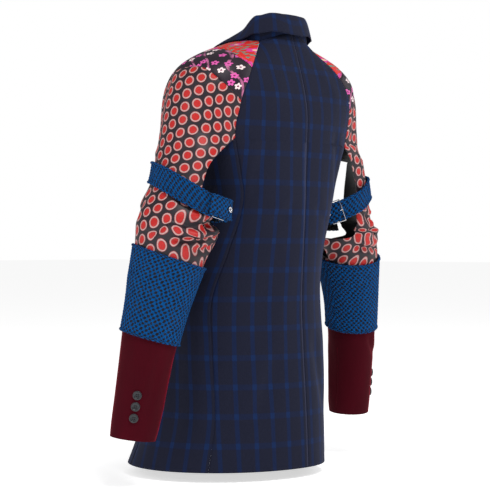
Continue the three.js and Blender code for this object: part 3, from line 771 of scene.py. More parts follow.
# Brocade with ordinary small flowers and leaves: shiny floats on a matt red ground.
def flower_brocade():
    material, tree = new_material("flower_brocade")
    uv = pattern_place(tree)
    thread = stretched_noise(tree, uv, 1500, 600)
    ground = mix_colour(tree, thread, linear("#A81014"), linear("#EC3026"))
    leaf_offset, _, leaf_colour = scattered_cells(tree, uv, 0.0075, 1.0)
    leaf = petals(tree, leaf_offset, 0.0034, 3, 0.75)
    pick = add(tree, "ShaderNodeSeparateColor", {0: leaf_colour})
    leafy = add(tree, MATH, {0: pick, 1: 0.42}, operation="GREATER_THAN")
    leaf = add(tree, MATH, {0: leaf, 1: leafy}, operation="MULTIPLY")
    flower_offset, _, _ = scattered_cells(tree, uv, 0.034, 0.7)
    flower = petals(tree, flower_offset, 0.0105, 5, 0.4)
    heart = petals(tree, flower_offset, 0.0032, 5, 0.1)
    colour = mix_colour(tree, leaf, ground, linear("#3C8C7C"))
    colour = mix_colour(tree, flower, colour, linear("#D03A92"))
    colour = mix_colour(tree, heart, colour, linear("#F0C8A0"))
    height = add(tree, MATH, {0: leaf, 1: flower}, operation="ADD")
    bump = add(tree, "ShaderNodeBump", {"Strength": 0.3, "Distance": 0.0005, "Height": height})
    finish_material(tree, colour, bump, Roughness=0.48, Specular_IOR_Level=0.3)
    return material


# Jacquard silk in dark plum with small sprigs: five-petalled flowers in pink and white on short stems.
def plum_silk():
    material, tree = new_material("plum_silk_sprigs")
    uv = pattern_place(tree)
    thread = stretched_noise(tree, uv, 1400, 700)
    ground = mix_colour(tree, thread, linear("#120A14"), linear("#2A1A2A"))
    offset, distance, colour = scattered_cells(tree, uv, 0.021, 0.55)
    flower = petals(tree, offset, 0.0062, 5, 0.45)
    heart = petals(tree, offset, 0.0018, 5, 0.1)
    pick = add(tree, "ShaderNodeSeparateColor", {0: colour})
    pink_or_white = add(tree, MATH, {0: pick, 1: 0.5}, operation="GREATER_THAN")
    bloom = mix_colour(tree, pink_or_white, linear("#DC5AAA"), linear("#F0DCDC"))
    wave = {"Vector": uv, "Scale": 15.0, "Distortion": 5.0, "Detail": 0.0}
    stem_bend = add(tree, "ShaderNodeTexWave", wave, bands_direction="DIAGONAL")
    stem = add(tree, "ShaderNodeMapRange", {"Value": stem_bend, "From Min": 0.93, "From Max": 0.97},
               interpolation_type="SMOOTHSTEP")
    fade = {"Value": distance, "From Min": 0.4, "From Max": 0.6, "To Min": 1.0, "To Max": 0.0}
    near = add(tree, "ShaderNodeMapRange", fade)
    stem = add(tree, MATH, {0: stem, 1: near}, operation="MULTIPLY")
    shade = mix_colour(tree, stem, ground, linear("#B4648C"))
    shade = mix_colour(tree, flower, shade, bloom)
    shade = mix_colour(tree, heart, shade, linear("#7A2850"))
    bump = add(tree, "ShaderNodeBump", {"Strength": 0.3, "Distance": 0.0005, "Height": flower})
    finish_material(tree, shade, bump, Roughness=0.5, Specular_IOR_Level=0.3)
    return material


# Boucle tweed: thick soft blue yarn over a brown ground that shows between its loops.
YARN_PITCH = 9.0
YARN_RELIEF = 0.55


def blue_tweed():
    material, tree = new_material("boucle_tweed")
    uv, across, along = pattern_axes(tree)
    wander = stretched_noise(tree, uv, 90, 90)
    shift = add(tree, "ShaderNodeMapRange", {"Value": wander, "To Min": -2.4, "To Max": 2.4})
    per_metre = 2 * math.pi / (YARN_PITCH * MM)
    loops = []
    for axis in (across, along):
        turns = add(tree, MATH, {0: axis, 1: per_metre, 2: shift}, operation="MULTIPLY_ADD")
        loops.append(add(tree, MATH, {0: turns}, operation="COSINE"))
    loop = add(tree, MATH, {0: loops[0], 1: loops[1]}, operation="MULTIPLY")
    fluff = stretched_noise(tree, uv, 700, 700, 4.0)
    patch = stretched_noise(tree, uv, 60, 60)
    blue = mix_colour(tree, fluff, linear("#001230"), linear("#0666B4"))
    gap = add(tree, "ShaderNodeMapRange", {"Value": loop, "From Min": -0.4, "From Max": 0.2, "To Min": 1.0,
                                           "To Max": 0.0}, interpolation_type="SMOOTHSTEP")
    ground = mix_colour(tree, patch, linear("#060A14"), linear("#2E2826"))
    colour = mix_colour(tree, gap, blue, ground)
    height = add(tree, MATH, {0: fluff, 1: 0.8, 2: loop}, operation="MULTIPLY_ADD")
    bump = add(tree, "ShaderNodeBump", {"Strength": 0.9, "Distance": 0.0016, "Height": height})
    finish_material(tree, colour, bump, Roughness=0.95, Sheen_Weight=0.08, Sheen_Roughness=0.6,
                    Sheen_Tint=linear("#4A8CE0"), Specular_IOR_Level=0.08)
    return material


# Silk velvet: deep and dark face on, bright where the nap turns away.
def velvet():
    material, tree = new_material("silk_velvet")
    uv = pattern_place(tree)
    nap = stretched_noise(tree, uv, 1600, 500, 3.0)
    # Broad lighter streaks in the base colour: partly the nap's own brushing, partly painted sheen.
    brushing_and_painted_sheen = stretched_noise(tree, uv, 22, 8)
    face = mix_colour(tree, nap, linear("#180005"), linear("#440210"))
    face = mix_colour(tree, brushing_and_painted_sheen, face, linear("#480212"))
    bump = add(tree, "ShaderNodeBump", {"Strength": 0.3, "Distance": 0.0004, "Height": nap})
    finish_material(tree, face, bump, Roughness=0.9, Sheen_Weight=0.85, Sheen_Roughness=0.25,
                    Sheen_Tint=linear("#C81038"), Specular_IOR_Level=0.1)
    return material


def plated_steel():
    """Nickel-plated steel, polished in a barrel: bright, with fine marks from wear."""
    material, tree = new_material("nickel_plated_steel")
    place_on = add(tree, "ShaderNodeTexCoord", out=3)
    marks = add(tree, "ShaderNodeTexNoise", {"Vector": place_on, "Scale": 900.0, "Detail": 3.0})
    colour = mix_colour(tree, marks, linear("#B4B4B8"), linear("#DCDCE0"))
    bump = add(tree, "ShaderNodeBump", {"Strength": 0.08, "Distance": 0.0001, "Height": marks})
    finish_material(tree, colour, bump, Metallic=1.0, Roughness=0.22)
    return material


def dark_horn():
    """Polyester cast to look like dark horn: polished, with grey streaks in it."""
    material, tree = new_material("polished_polyester")
    place_on = add(tree, "ShaderNodeTexCoord", out=3)
    cloudy = {"Vector": place_on, "Scale": 260.0, "Detail": 3.0, "Distortion": 1.5}
    streak = add(tree, "ShaderNodeTexNoise", cloudy)
    colour = mix_colour(tree, streak, linear("#0A0B0E"), linear("#2A2C32"))
    bump = add(tree, "ShaderNodeBump", {"Strength": 0.05, "Distance": 0.0002, "Height": streak})
    finish_material(tree, colour, bump, Roughness=0.28)
    return material


WOOL = wool_check()
LINING = black_lining()
DOTS = dot_silk()
BROCADE = flower_brocade()
PLUM = plum_silk()
TWEED_CLOTH = blue_tweed()
VELVET = velvet()
STEEL = plated_steel()
HORN = dark_horn()


def inset_columns(grid, distance):
    """Draws a piece's two side edges in, where it is open."""
    open_rows = np.linalg.norm(grid[:, 0] - grid[:, -1], axis=-1) > 0.01
    trimmed = grid.copy()
    trimmed[open_rows, 0] += (unit(grid[:, 1] - grid[:, 0]) * distance)[open_rows]
    trimmed[open_rows, -1] += (unit(grid[:, -2] - grid[:, -1]) * distance)[open_rows]
    return trimmed


def inset_row(grid, index, distance):
    neighbour = 1 if index == 0 else -2
    trimmed = grid.copy()
    trimmed[index] += unit(grid[neighbour] - grid[index]) * distance
    return trimmed


SEAM_DIP = 0.5
SEAM_DIP_WIDTH = 2.6


def seam_dip(grid, sides="", ends=""):
    """The cloth is drawn in a little beside a seam; it names the grid's sides and ends that are sewn."""
    across = arc_along(grid, 1)
    along = arc_along(grid, 0)
    dip = np.zeros(grid.shape[:2])
    if "first" in sides:
        dip += np.exp(-((across / SEAM_DIP_WIDTH) ** 2))
    if "last" in sides:
        dip += np.exp(-(((across[:, -1:] - across) / SEAM_DIP_WIDTH) ** 2))
    if "top" in ends:
        dip += np.exp(-((along / SEAM_DIP_WIDTH) ** 2))
    if "bottom" in ends:
        dip += np.exp(-(((along[-1:] - along) / SEAM_DIP_WIDTH) ** 2))
    return -SEAM_DIP * dip


# The body. Its checks run level round it, so every panel reads its length along the same profile.
PROFILE = back_points("left")[:, :1]
PROFILE_ARC = arc_along(PROFILE, 0)[:, 0]
FIRST_BAND_Z = -104
WAIST_Z = -300


def check_along(z):
    """How far down the cloth a height lies, from the check's first band."""
    drop = -PROFILE[:, 0, 2]
    return np.interp(-z, drop, PROFILE_ARC) - np.interp(-FIRST_BAND_Z, drop, PROFILE_ARC)


# A fold's columns are u0, v0, u1, v1, height, width and bend. It runs from one point of the cloth to
# another, in millimetres across the panel and down from the first band of the check.
BACK_FOLDS = {
    "left": [
        (60, 420, 128, 560, -3.2, 15, 10),
        (20, 250, 60, 470, 1.8, 20, -8),
        (96, 60, 128, 190, -2.2, 13, 6),
        (40, -40, 118, 30, 1.4, 18, 4),
        (110, 430, 120, 610, 2.6, 17, 5),
        (18, 170, 92, 225, -1.6, 11, 5),
        (30, 215, 104, 196, -1.2, 9, -4),
    ],
    "right": [
        (30, 380, 90, 560, -2.8, 16, 8),
        (70, 300, 108, 520, 2.0, 19, -7),
        (88, 40, 122, 170, -2.4, 12, 5),
        (24, 180, 88, 214, -1.5, 10, 4),
        (46, -50, 110, 10, 1.5, 17, -5),
    ],
}
SIDE_FOLDS = {
    "left": [
        (22, 330, 40, 612, 2.8, 18, 6),
        (70, 380, 92, 612, -3.0, 17, 7),
        (118, 360, 130, 612, 2.4, 18, -6),
        (30, 150, 96, 210, -1.8, 10, 6),
        (24, 222, 110, 196, -1.4, 9, -5),
    ],
    "right": [
        (26, 340, 30, 612, -2.6, 17, 6),
        (76, 360, 84, 612, 2.6, 18, -6),
        (28, 160, 90, 214, -1.7, 10, 5),
        (110, 400, 120, 612, -2.4, 16, 5),
    ],
}
FRONT_FOLDS = {
    "left": [
        (20, 200, 96, 232, -1.8, 10, 5),
        (30, 262, 110, 240, -1.5, 9, -4),
        (50, 340, 66, 612, 2.4, 20, 7),
        (110, 400, 118, 612, -2.2, 18, -6),
        (14, 20, 44, 120, -1.8, 11, 5),
    ],
    "right": [
        (24, 196, 100, 236, -1.7, 10, 4),
        (40, 350, 52, 612, -2.4, 19, 6),
        (96, 380, 104, 612, 2.2, 18, -6),
        (16, 30, 40, 130, -1.6, 11, 4),
    ],
}
CENTRE_SHAPING = 7.0
CENTRE_SHAPING_REACH = 150
BACK_FIRST_STRIPE = 13.0
SIDE_FIRST_STRIPE = 9.0
FRONT_FIRST_STRIPE = 20.0


def waist_shaping(z):
    """How much cloth the centre seam takes in, most at the waist."""
    return CENTRE_SHAPING * np.exp(-(((z - WAIST_Z) / CENTRE_SHAPING_REACH) ** 2))


def make_body(half):
    back = inset_columns(back_points(half), PANEL_INSET)
    across = arc_along(back, 1)
    along = check_along(back[..., 2])
    shaped = creased(back, across, along, BACK_FOLDS[half], seam_dip(back, "first last"), seam_hold(across))
    uv = np.stack([across + waist_shaping(back[..., 2]) - BACK_FIRST_STRIPE, along], axis=-1)
    piece = cloth(f"back_panel_{half}", shaped, uv, half, [WOOL, LINING])
    declare(piece, [f"back_{half}"])

    side = inset_columns(side_points(half), PANEL_INSET)
    across = arc_along(side, 1)
    along = check_along(side[..., 2])
    shaped = creased(side, across, along, SIDE_FOLDS[half], seam_dip(side, "first last"), seam_hold(across))
    uv = np.stack([across - SIDE_FIRST_STRIPE, along], axis=-1)
    piece = cloth(f"side_panel_{half}", shaped, uv, half, [WOOL, LINING])
    declare(piece, [f"side_{half}"])

    front = inset_columns(front_points(half), PANEL_INSET)
    across = arc_along(front, 1)
    along = check_along(front[..., 2])
    shaped = creased(front, across, along, FRONT_FOLDS[half], seam_dip(front, "first"), seam_hold(across))
    uv = np.stack([across[:, -1:] - across - FRONT_FIRST_STRIPE, along], axis=-1)
    piece = cloth(f"front_panel_{half}", shaped, uv, half, [WOOL, LINING])
    declare(piece, [f"front_{half}"])

    lapel = lapel_points(half)
    across = arc_along(lapel, 1)
    roll = LAPEL_ROLL * np.sin(np.pi * np.clip(np.linspace(0, 1, lapel.shape[1]), 0, 1)) ** 2
    shaped = lapel + outward(lapel) * roll[None, :, None]
    uv = np.stack([across, check_along(lapel[..., 2])], axis=-1)
    piece = cloth(f"lapel_facing_{half}", shaped, uv, half, [WOOL, WOOL])
    declare(piece, [f"lapel_{half}"])


# The sleeve and its two shoulder patches share one surface, cut across.
# Its folds run across from the outer middle line, positive to the front, and along the arm's axis.
SLEEVE_FOLDS = {
    "left": [
        (-148, 344, -62, 368, -8.0, 5, 5),
        (-156, 358, -40, 392, 6.0, 6, 7),
        (-150, 372, -28, 404, -8.5, 5, 8),
        (-120, 398, -20, 384, 5.5, 5, -6),
        (-150, 386, -70, 412, -7.0, 5, 6),
        (-96, 352, -30, 336, -5.5, 5, -5),
        (-36, 374, -2, 402, -5.0, 5, 4),
        (-104, 338, -88, 412, -4.5, 6, 6),
        (20, 340, 96, 360, -3.2, 9, 6),
        (30, 372, 110, 366, -3.0, 8, -6),
        (60, 392, 150, 388, -3.0, 9, 5),
        (-70, 130, -56, 220, -2.0, 12, 5),
        (40, 110, 62, 230, -2.6, 14, -8),
        (-20, 90, 30, 120, -1.4, 12, 4),
    ],
    "right": [
        (-150, 352, -56, 374, -7.5, 5, 6),
        (-146, 372, -30, 388, 5.5, 6, -6),
        (-150, 388, -50, 410, -7.5, 5, 6),
        (-100, 340, -36, 356, -5.5, 5, 5),
        (-88, 330, -64, 410, -6.0, 6, 7),
        (-60, 336, -40, 404, -5.0, 5, -5),
        (-60, 384, 10, 394, -3.0, 8, 5),
        (16, 336, 90, 352, -3.0, 9, 6),
        (50, 378, 140, 370, -3.2, 9, -6),
        (-64, 110, -80, 220, -3.2, 10, 6),
        (-40, 140, -52, 250, 2.0, 12, -6),
        (36, 120, 60, 230, -2.6, 14, 7),
    ],
}


def make_sleeve(half):
    whole, across, along = sleeve_points(half)
    per_row = (len(YOKE_STEPS) - 1) // SADDLE_ROWS
    red_end = RED_ROWS * per_row
    plum_end = PLUM_ROWS * per_row
    shaped = creased(whole, across, along, SLEEVE_FOLDS[half])
    uv = np.stack([across, along], axis=-1)
    for fold in SLEEVE_FOLDS[half]:
        uv += gathered(across, along, fold)
    pieces = [
        ("shoulder_patch_red", 0, red_end, BROCADE,
         "shoulder_red", "flower_brocade", (210, 96), "top bottom"),
        ("shoulder_patch_plum", red_end, plum_end, PLUM,
         "shoulder_plum", "plum_silk", (290, 96), "top bottom"),
        ("sleeve_cloth", plum_end, len(whole) - 1, DOTS,
         "sleeve", "dot_silk", (460, 330), "top"),
    ]
    for name, first, last, material, node, slot, flat, sewn in pieces:
        part = inset_columns(shaped[first:last + 1], SADDLE_GAP)
        if "bottom" in sewn:
            part = inset_row(part, -1, SEAM_INSET)
        if first > 0:
            part = inset_row(part, 0, SEAM_INSET)
        dip = seam_dip(part, "", sewn)
        part = part + outward(part) * dip[..., None]
        piece = cloth(f"{name}_{half}", part, uv[first:last + 1], half, [material, LINING])
        declare(piece, [f"{node}_{half}"])


def tweed_relief(across, along):
    turn = 2 * np.pi / YARN_PITCH
    return YARN_RELIEF * np.cos(across * turn) * np.cos(along * turn)


CORD_RADIUS = 2.3
CORD_STRAND = 6.5
CORD_STEP = 1.5


def edge_cord(name, line, closed, half, lift):
    """A two-strand cord along an edge; line is points in millimetres and the outward direction at each."""
    path, out = line
    path = path + out * lift
    arc = arc_along(path[None], 1)[0]
    count = max(8, round(arc[-1] / CORD_STEP))
    at = np.linspace(0, arc[-1], count + 1)
    centre = np.stack([np.interp(at, arc, path[:, k]) for k in range(3)], axis=-1)
    normal = unit(np.stack([np.interp(at, arc, out[:, k]) for k in range(3)], axis=-1))
    tangent = unit(np.gradient(centre, axis=0))
    side = unit(np.cross(tangent, normal))
    around = np.linspace(0, 2 * np.pi, 13)[None, :]
    turns = round(arc[-1] / (2 * CORD_STRAND)) * np.pi * 2 / arc[-1]
    lobe = np.abs(np.cos(around + turns * at[:, None]))
    radius = CORD_RADIUS * (0.72 + 0.34 * lobe)
    taper = np.ones_like(at) if closed else np.sqrt(np.clip(np.minimum(at, arc[-1] - at) / 3, 0.02, 1))
    radius = radius * taper[:, None]
    grid = (
        centre[:, None]
        + (normal[:, None] * np.cos(around)[..., None] + side[:, None] * np.sin(around)[..., None])
        * radius[..., None]
    )
    uv = np.stack(np.broadcast_arrays(around * CORD_RADIUS, at[:, None]), axis=-1)
    faces = grid_faces(*grid.shape[:2], half == "right")
    piece = make_mesh(name, place(grid, half).reshape(-1, 3), faces.tolist(),
                      (uv.reshape(-1, 2) * MM)[faces.ravel()], [TWEED_CLOTH])
    merge_doubles(piece)
    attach(piece, "root")
    return piece


def edge_line(grid, row):
    return grid[row], outward(grid)[row]


def make_tweed(name, node, grid, half, folds=()):
    across = arc_along(grid, 1)
    along = arc_along(grid, 0)
    shaped = creased(grid, across, along, folds, tweed_relief(across, along))
    uv = np.stack([across, along], axis=-1)
    piece = cloth(f"{name}_{half}", shaped, uv, half, [TWEED_CLOTH, LINING], TWEED)
    closed = bool(np.linalg.norm(grid[0, 0] - grid[0, -1]) < 0.01)
    cords = [
        edge_cord(f"{name}_upper_cord_{half}", edge_line(shaped, 0), closed, half, -0.8),
        edge_cord(f"{name}_lower_cord_{half}", edge_line(shaped, -1), closed, half, -0.8),
    ]
    declare(piece, [f"{node}_{half}"])


BAND_FOLDS = [
    (60, 20, 120, 46, -1.6, 9, 4),
    (210, 80, 280, 60, -1.4, 9, -4),
    (130, 96, 200, 112, -1.4, 9, 4),
]
CUFF_FOLDS = {
    "left": [
        (84, 4, 78, 150, -2.4, 9, 4),
        (120, 6, 100, 90, 1.8, 10, -4),
        (200, 8, 188, 120, -2.0, 10, 5),
        (30, 20, 36, 140, 1.6, 12, 5),
    ],
    "right": [
        (64, 8, 96, 60, -3.0, 7, 6),
        (90, 30, 130, 44, -2.4, 7, -4),
        (180, 10, 170, 130, -2.0, 10, 5),
        (230, 20, 226, 150, 1.8, 11, 4),
    ],
}


def make_forearm(half):
    band = tube_points(BAND, half, 101, 241)
    make_tweed("forearm_band", "band", band, half, BAND_FOLDS)
    cuff = tube_points(CUFF, half, 45, 101)
    across = arc_along(cuff, 1)
    along = arc_along(cuff, 0)
    shaped = creased(cuff, across, along, CUFF_FOLDS[half])
    uv = np.stack([across, along], axis=-1)
    piece = cloth(f"velvet_cuff_{half}", shaped, uv, half, [VELVET, LINING])
    declare(piece, [f"cuff_{half}"])
    strap = strap_points(half)
    make_tweed("strap_loop", "strap", strap, half)
    tail = tail_points(half)
    make_tweed("strap_end", "tail", tail, half)


# The collar: one cloth that rises inside the neckline, rolls over at the fold and drops outside.
COLLAR_CENTRE_Y = -8
COLLAR_STAND = 29
COLLAR_FLATTEN = 0.85
COLLAR_STAND_INSET = -1.2
COLLAR_FRONT_INSET = 3.4
COLLAR_LEAN = 3
COLLAR_SEAM = 0.7
COLLAR_FOLD = 2.6
COLLAR_SPREAD = 13
COLLAR_COVER = 6
COLLAR_SHALLOW = 0.5
COLLAR_SIDE_RISE = 12
COLLAR_SIDE_LIFT = 15
COLLAR_TURNING = 3.5
COLLAR_TURNING_INSET = 1.0
COLLAR_FAR_TUCK = 6
# Shares of the way from the centre back to a front end: where the collar turns flat, and over how much.
COLLAR_LOW_FROM = 0.3
COLLAR_LOW_RUN = 0.28
COLLAR_BESIDE_RUN = 0.16
COLLAR_FRONT_FROM = 0.45
COLLAR_END_LEVELS = [0.25, 0.5, 0.8, 1.1, 1.4, 1.7]
COLLAR_FOLDS = [
    (-150, 30, -96, 52, -1.6, 11, 5),
    (90, 26, 150, 48, -1.5, 10, -5),
    (-30, 34, 24, 40, 0.9, 14, 3),
]


def neckline():
    """The sewn edge of the neck, from the right front edge round the back to the left one."""
    saddle = saddle_points(0.0, np.linspace(0, 1, 21))
    half = [yoke_point(0, share, False) for share in (0, 0.35, 0.7)]
    half += [saddle[j] for j in (0, 4, 8, 10, 12, 16, 20)]
    for position in COLLAR_END_LEVELS:
        z = float(between(SADDLE, position)["front_z"])
        half.append(front_row(front_level(position, z), front_edge_x(z), "left", 0.0))
    half = np.array(half)
    return np.concatenate([half[:0:-1] * (-1, 1, 1), half])


def smooth_curve(knots, count):
    """Points at even steps along a smooth curve through the knots."""
    padded = np.concatenate([[2 * knots[0] - knots[1]], knots, [2 * knots[-1] - knots[-2]]])
    gap = np.linalg.norm(np.diff(padded, axis=0), axis=1) ** 0.5
    dense = []
    for i in range(len(knots) - 1):
        p0, p1, p2, p3 = padded[i:i + 4]
        d0, d1, d2 = gap[i:i + 3]
        leave = ((p1 - p0) / d0 - (p2 - p0) / (d0 + d1) + (p2 - p1) / d1) * d1
        arrive = ((p2 - p1) / d1 - (p3 - p1) / (d1 + d2) + (p3 - p2) / d2) * d1
        t = np.linspace(0, 1, 40, endpoint=False)[:, None]
        dense.append(
            (2 * t**3 - 3 * t**2 + 1) * p1 + (t**3 - 2 * t**2 + t) * leave
            + (3 * t**2 - 2 * t**3) * p2 + (t**3 - t**2) * arrive
        )
    dense = np.concatenate(dense + [knots[-1:]])
    arc = arc_along(dense[None], 1)[0]
    at = np.linspace(0, arc[-1], count)
    return np.stack([np.interp(at, arc, dense[:, k]) for k in range(3)], axis=-1)


def make_collar():
    base = smooth_curve(neckline(), 181)
    c = np.abs(np.linspace(-1, 1, len(base)))
    out = base - np.stack([0 * c, 0 * c + COLLAR_CENTRE_Y, base[:, 2]], axis=-1)
    out[:, 2] = 0
    out = unit(out)
    front = smooth((c - COLLAR_FRONT_FROM) / (1 - COLLAR_FRONT_FROM))
    low = smooth((c - COLLAR_LOW_FROM) / COLLAR_LOW_RUN)
    beside = smooth(c / COLLAR_LOW_RUN) * (1 - smooth((c - COLLAR_LOW_FROM) / COLLAR_BESIDE_RUN))
    far_side = beside * (np.linspace(-1, 1, len(base)) < 0)
    height = COLLAR_STAND * (1 - COLLAR_FLATTEN * low) + COLLAR_SIDE_RISE * beside
    cover = COLLAR_COVER * (1 - COLLAR_SHALLOW * low) - COLLAR_SIDE_LIFT * beside
    inside = COLLAR_STAND_INSET - CLOTH - COLLAR_TURNING_INSET - COLLAR_FRONT_INSET * front
    rows = [(inside, COLLAR_SEAM - COLLAR_TURNING + 0 * c)]
    for h in np.linspace(0, 1, 9):
        reach = COLLAR_STAND_INSET - CLOTH - COLLAR_FRONT_INSET * front - COLLAR_LEAN * h
        rows.append((reach, COLLAR_SEAM + height * h))
    top_reach = COLLAR_STAND_INSET - COLLAR_LEAN + 1.5
    for turn in np.radians([150, 120]):
        inner = COLLAR_STAND_INSET - CLOTH - COLLAR_FRONT_INSET * front - COLLAR_LEAN
        reach = top_reach + (top_reach - inner) * np.cos(turn)
        rows.append((reach, COLLAR_SEAM + height + COLLAR_FOLD * np.sin(turn)))
    for d in np.linspace(0, 1, 25) ** 1.4:
        spread = COLLAR_SPREAD * (1 + 0.8 * front) - top_reach - COLLAR_FAR_TUCK * far_side
        reach = top_reach + spread * (0.35 * np.sqrt(d) + 0.65 * d)
        rows.append((reach, COLLAR_SEAM + COLLAR_FOLD + height - (height + cover) * d**1.15))
    grid = np.array([
        base + out * np.broadcast_to(reach, c.shape)[:, None] + np.outer(rise, (0, 0, 1))
        for reach, rise in rows
    ])
    along = arc_along(grid, 0)
    across = arc_along(base[None], 1)[0]
    across = np.broadcast_to(across - across.mean(), along.shape)
    shaped = creased(grid, across, along, COLLAR_FOLDS)
    uv = np.stack([across - BACK_FIRST_STRIPE, along - 6], axis=-1)
    piece = cloth("collar", shaped, uv, "left", [WOOL, WOOL])
    declare(piece, ["collar_stand", "collar_fall"])


# Small hard pieces, modelled once at the origin facing +Z with their long side on Y, then copied to
# their seats.
BUTTON_RADIUS = 7.3
BUTTON_DEPTH = 2.6
BUTTON_PITCH = 17.5
BUTTON_FIRST_Z = -591
BUTTON_ANGLE = 37
BUTTON_SEAT = 0.4
BUTTON_COUNT = 3
FRONT_BUTTON_RADIUS = 10
FRONT_BUTTON_DEPTH = 3.2
FRONT_BUTTON_SEAT = 0.5
FRONT_BUTTON_Z = (-352, -452)
BUCKLE_LONG = 40
BUCKLE_SHORT = 24
BUCKLE_WIRE = 1.6
BUCKLE_SEAT = 2.55
PRONG_WIDTH = 1.8
PRONG_SEAT = 1.3
EYELET_OUTER = 5.2
EYELET_INNER = 2.4
EYELET_DEPTH = 1.2
EYELET_SEAT = 1.9


def apply_modifiers(piece):
    bpy.context.view_layer.objects.active = piece
    for modifier in list(piece.modifiers):
        bpy.ops.object.modifier_apply(modifier=modifier.name)


def select_faces(mesh, wanted):
    """In edit mode, selects the faces for which wanted is true and nothing else."""
    bpy.ops.mesh.select_all(action="DESELECT")
    bpy.ops.mesh.select_mode(type="FACE")
    bpy.ops.object.mode_set(mode="OBJECT")
    for polygon in mesh.polygons:
        polygon.select = wanted(polygon)
    bpy.ops.object.mode_set(mode="EDIT")


def button_shape(radius, depth):
    """A four-hole button: a rounded rim round a shallow dish."""
    bpy.ops.mesh.primitive_cylinder_add(vertices=48, radius=radius * MM, depth=depth * MM,
                                        location=(0, 0, depth / 2 * MM))
    button = bpy.context.object
    mesh = button.data
    bpy.ops.object.mode_set(mode="EDIT")
    select_faces(mesh, lambda face: face.normal.z > 0.9)
    bpy.ops.mesh.inset(thickness=radius * 0.14 * MM, depth=0.12 * depth * MM)
    bpy.ops.mesh.inset(thickness=radius * 0.16 * MM, depth=-0.02 * depth * MM)
    bpy.ops.mesh.inset(thickness=radius * 0.12 * MM, depth=-0.36 * depth * MM)
    bpy.ops.object.mode_set(mode="OBJECT")
    add_modifier(
        button, "BEVEL", width=0.35 * MM, segments=3, limit_method="ANGLE", angle_limit=math.radians(25),
    )
    hole_step = radius * 0.2 * MM
    cutters = []
    for x, y in ((1, 1), (1, -1), (-1, 1), (-1, -1)):
        bpy.ops.mesh.primitive_cylinder_add(vertices=16, radius=radius * 0.11 * MM, depth=depth * 4 * MM,
                                            location=(x * hole_step, y * hole_step, 0))
        cutters.append(bpy.context.object)
    for cutter in cutters:
        add_modifier(button, "BOOLEAN", operation="DIFFERENCE", object=cutter, solver="EXACT")
        apply_modifiers(button)
        bpy.data.objects.remove(cutter)
    return bake_shape(button)


def bake_shape(piece):
    """The finished mesh of a modelled shape with its place applied; the object itself is removed."""
    apply_modifiers(piece)
    mesh = piece.data.copy()
    mesh.transform(piece.matrix_world)
    bpy.data.objects.remove(piece)
    return mesh


def buckle_shape():
    """A rectangular frame of round wire."""
    bpy.ops.mesh.primitive_plane_add(size=1, location=(0, 0, 0))
    frame_piece = bpy.context.object
    frame_piece.scale = (BUCKLE_SHORT * MM, BUCKLE_LONG * MM, 1)
    bpy.ops.object.transform_apply(location=False, rotation=False, scale=True)
    bpy.ops.object.mode_set(mode="EDIT")
    bpy.ops.mesh.select_all(action="SELECT")
    bpy.ops.mesh.inset(thickness=BUCKLE_WIRE * MM)
    bpy.ops.mesh.delete(type="FACE")
    bpy.ops.object.mode_set(mode="OBJECT")
    add_modifier(frame_piece, "SOLIDIFY", thickness=BUCKLE_WIRE * MM, offset=1)
    add_modifier(frame_piece, "BEVEL", width=BUCKLE_WIRE * 0.42 * MM, segments=4)
    return bake_shape(frame_piece)


def prong_shape():
    """The tongue: a round bar that thins to its tip."""
    length = BUCKLE_SHORT - 2 * BUCKLE_WIRE - 1
    bpy.ops.mesh.primitive_cylinder_add(vertices=20, radius=PRONG_WIDTH / 2 * MM, depth=length * MM,
                                        rotation=(0, math.radians(90), 0))
    prong = bpy.context.object
    bpy.ops.object.transform_apply(location=False, rotation=True, scale=False)
    bpy.ops.object.mode_set(mode="EDIT")
    select_faces(prong.data, lambda face: face.normal.x > 0.9)
    bpy.ops.mesh.inset(thickness=PRONG_WIDTH * 0.16 * MM, depth=PRONG_WIDTH * 0.3 * MM)
    bpy.ops.object.mode_set(mode="OBJECT")
    add_modifier(
        prong, "BEVEL", width=0.2 * MM, segments=3, limit_method="ANGLE", angle_limit=math.radians(30),
    )
    return bake_shape(prong)


def eyelet_shape():
    """A rolled metal ring, flat behind."""
    middle = (EYELET_OUTER + EYELET_INNER) / 2
    thick = (EYELET_OUTER - EYELET_INNER) / 2
    bpy.ops.mesh.primitive_torus_add(
        major_radius=middle * MM, minor_radius=thick * MM, major_segments=48, minor_segments=16,
        location=(0, 0, EYELET_DEPTH * 0.4 * MM),
    )
    ring = bpy.context.object
    ring.scale = (1, 1, 0.55)
    return bake_shape(ring)


def seated(name, mesh, seat, half, material, node):
    """Copies a shape to its seat: centre, outward and up, in millimetres on the +X side."""
    centre, out, up = (np.asarray(vector, float).ravel() for vector in seat)
    z = unit(out)
    x = unit(np.cross(up, z))
    y = np.cross(z, x)
    turn = Matrix([[x[i], y[i], z[i], centre[i] * MM] for i in range(3)] + [[0, 0, 0, 1]])
    copy = mesh.copy()
    copy.transform(turn)
    if half == "right":
        copy.transform(Matrix.Scale(-1, 4, (1, 0, 0)))
        copy.flip_normals()
    copy.name = name
    copy.materials.clear()
    copy.materials.append(material)
    piece = bpy.data.objects.new(name, copy)
    bpy.context.scene.collection.objects.link(piece)
    bpy.context.view_layer.objects.active = piece
    piece.select_set(True)
    bpy.ops.object.shade_smooth_by_angle(angle=math.radians(40))
    piece.select_set(False)
    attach(piece, "root")
    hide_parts(node)


def strap_seat(angle, lift, half):
    def at(turn, across):
        return strap_point(np.array(float(turn)), across, lift, half)
    along = at(angle + 6, 0) - at(angle - 6, 0)
    up = at(angle, 10) - at(angle, -10)
    out = unit(np.cross(up, along))
    return at(angle, 0), out, np.cross(along, out)


def cuff_seat(z, half):
    def at(height, lift):
        return arm_point(on_side(at_height(CUFF, height), half), BUTTON_ANGLE, lift)
    up = unit(at(z + 10, 0) - at(z - 10, 0))
    out = np.array([math.cos(math.radians(BUTTON_ANGLE)), math.sin(math.radians(BUTTON_ANGLE)), 0])
    return at(z, BUTTON_SEAT), out - up * np.dot(out, up), up


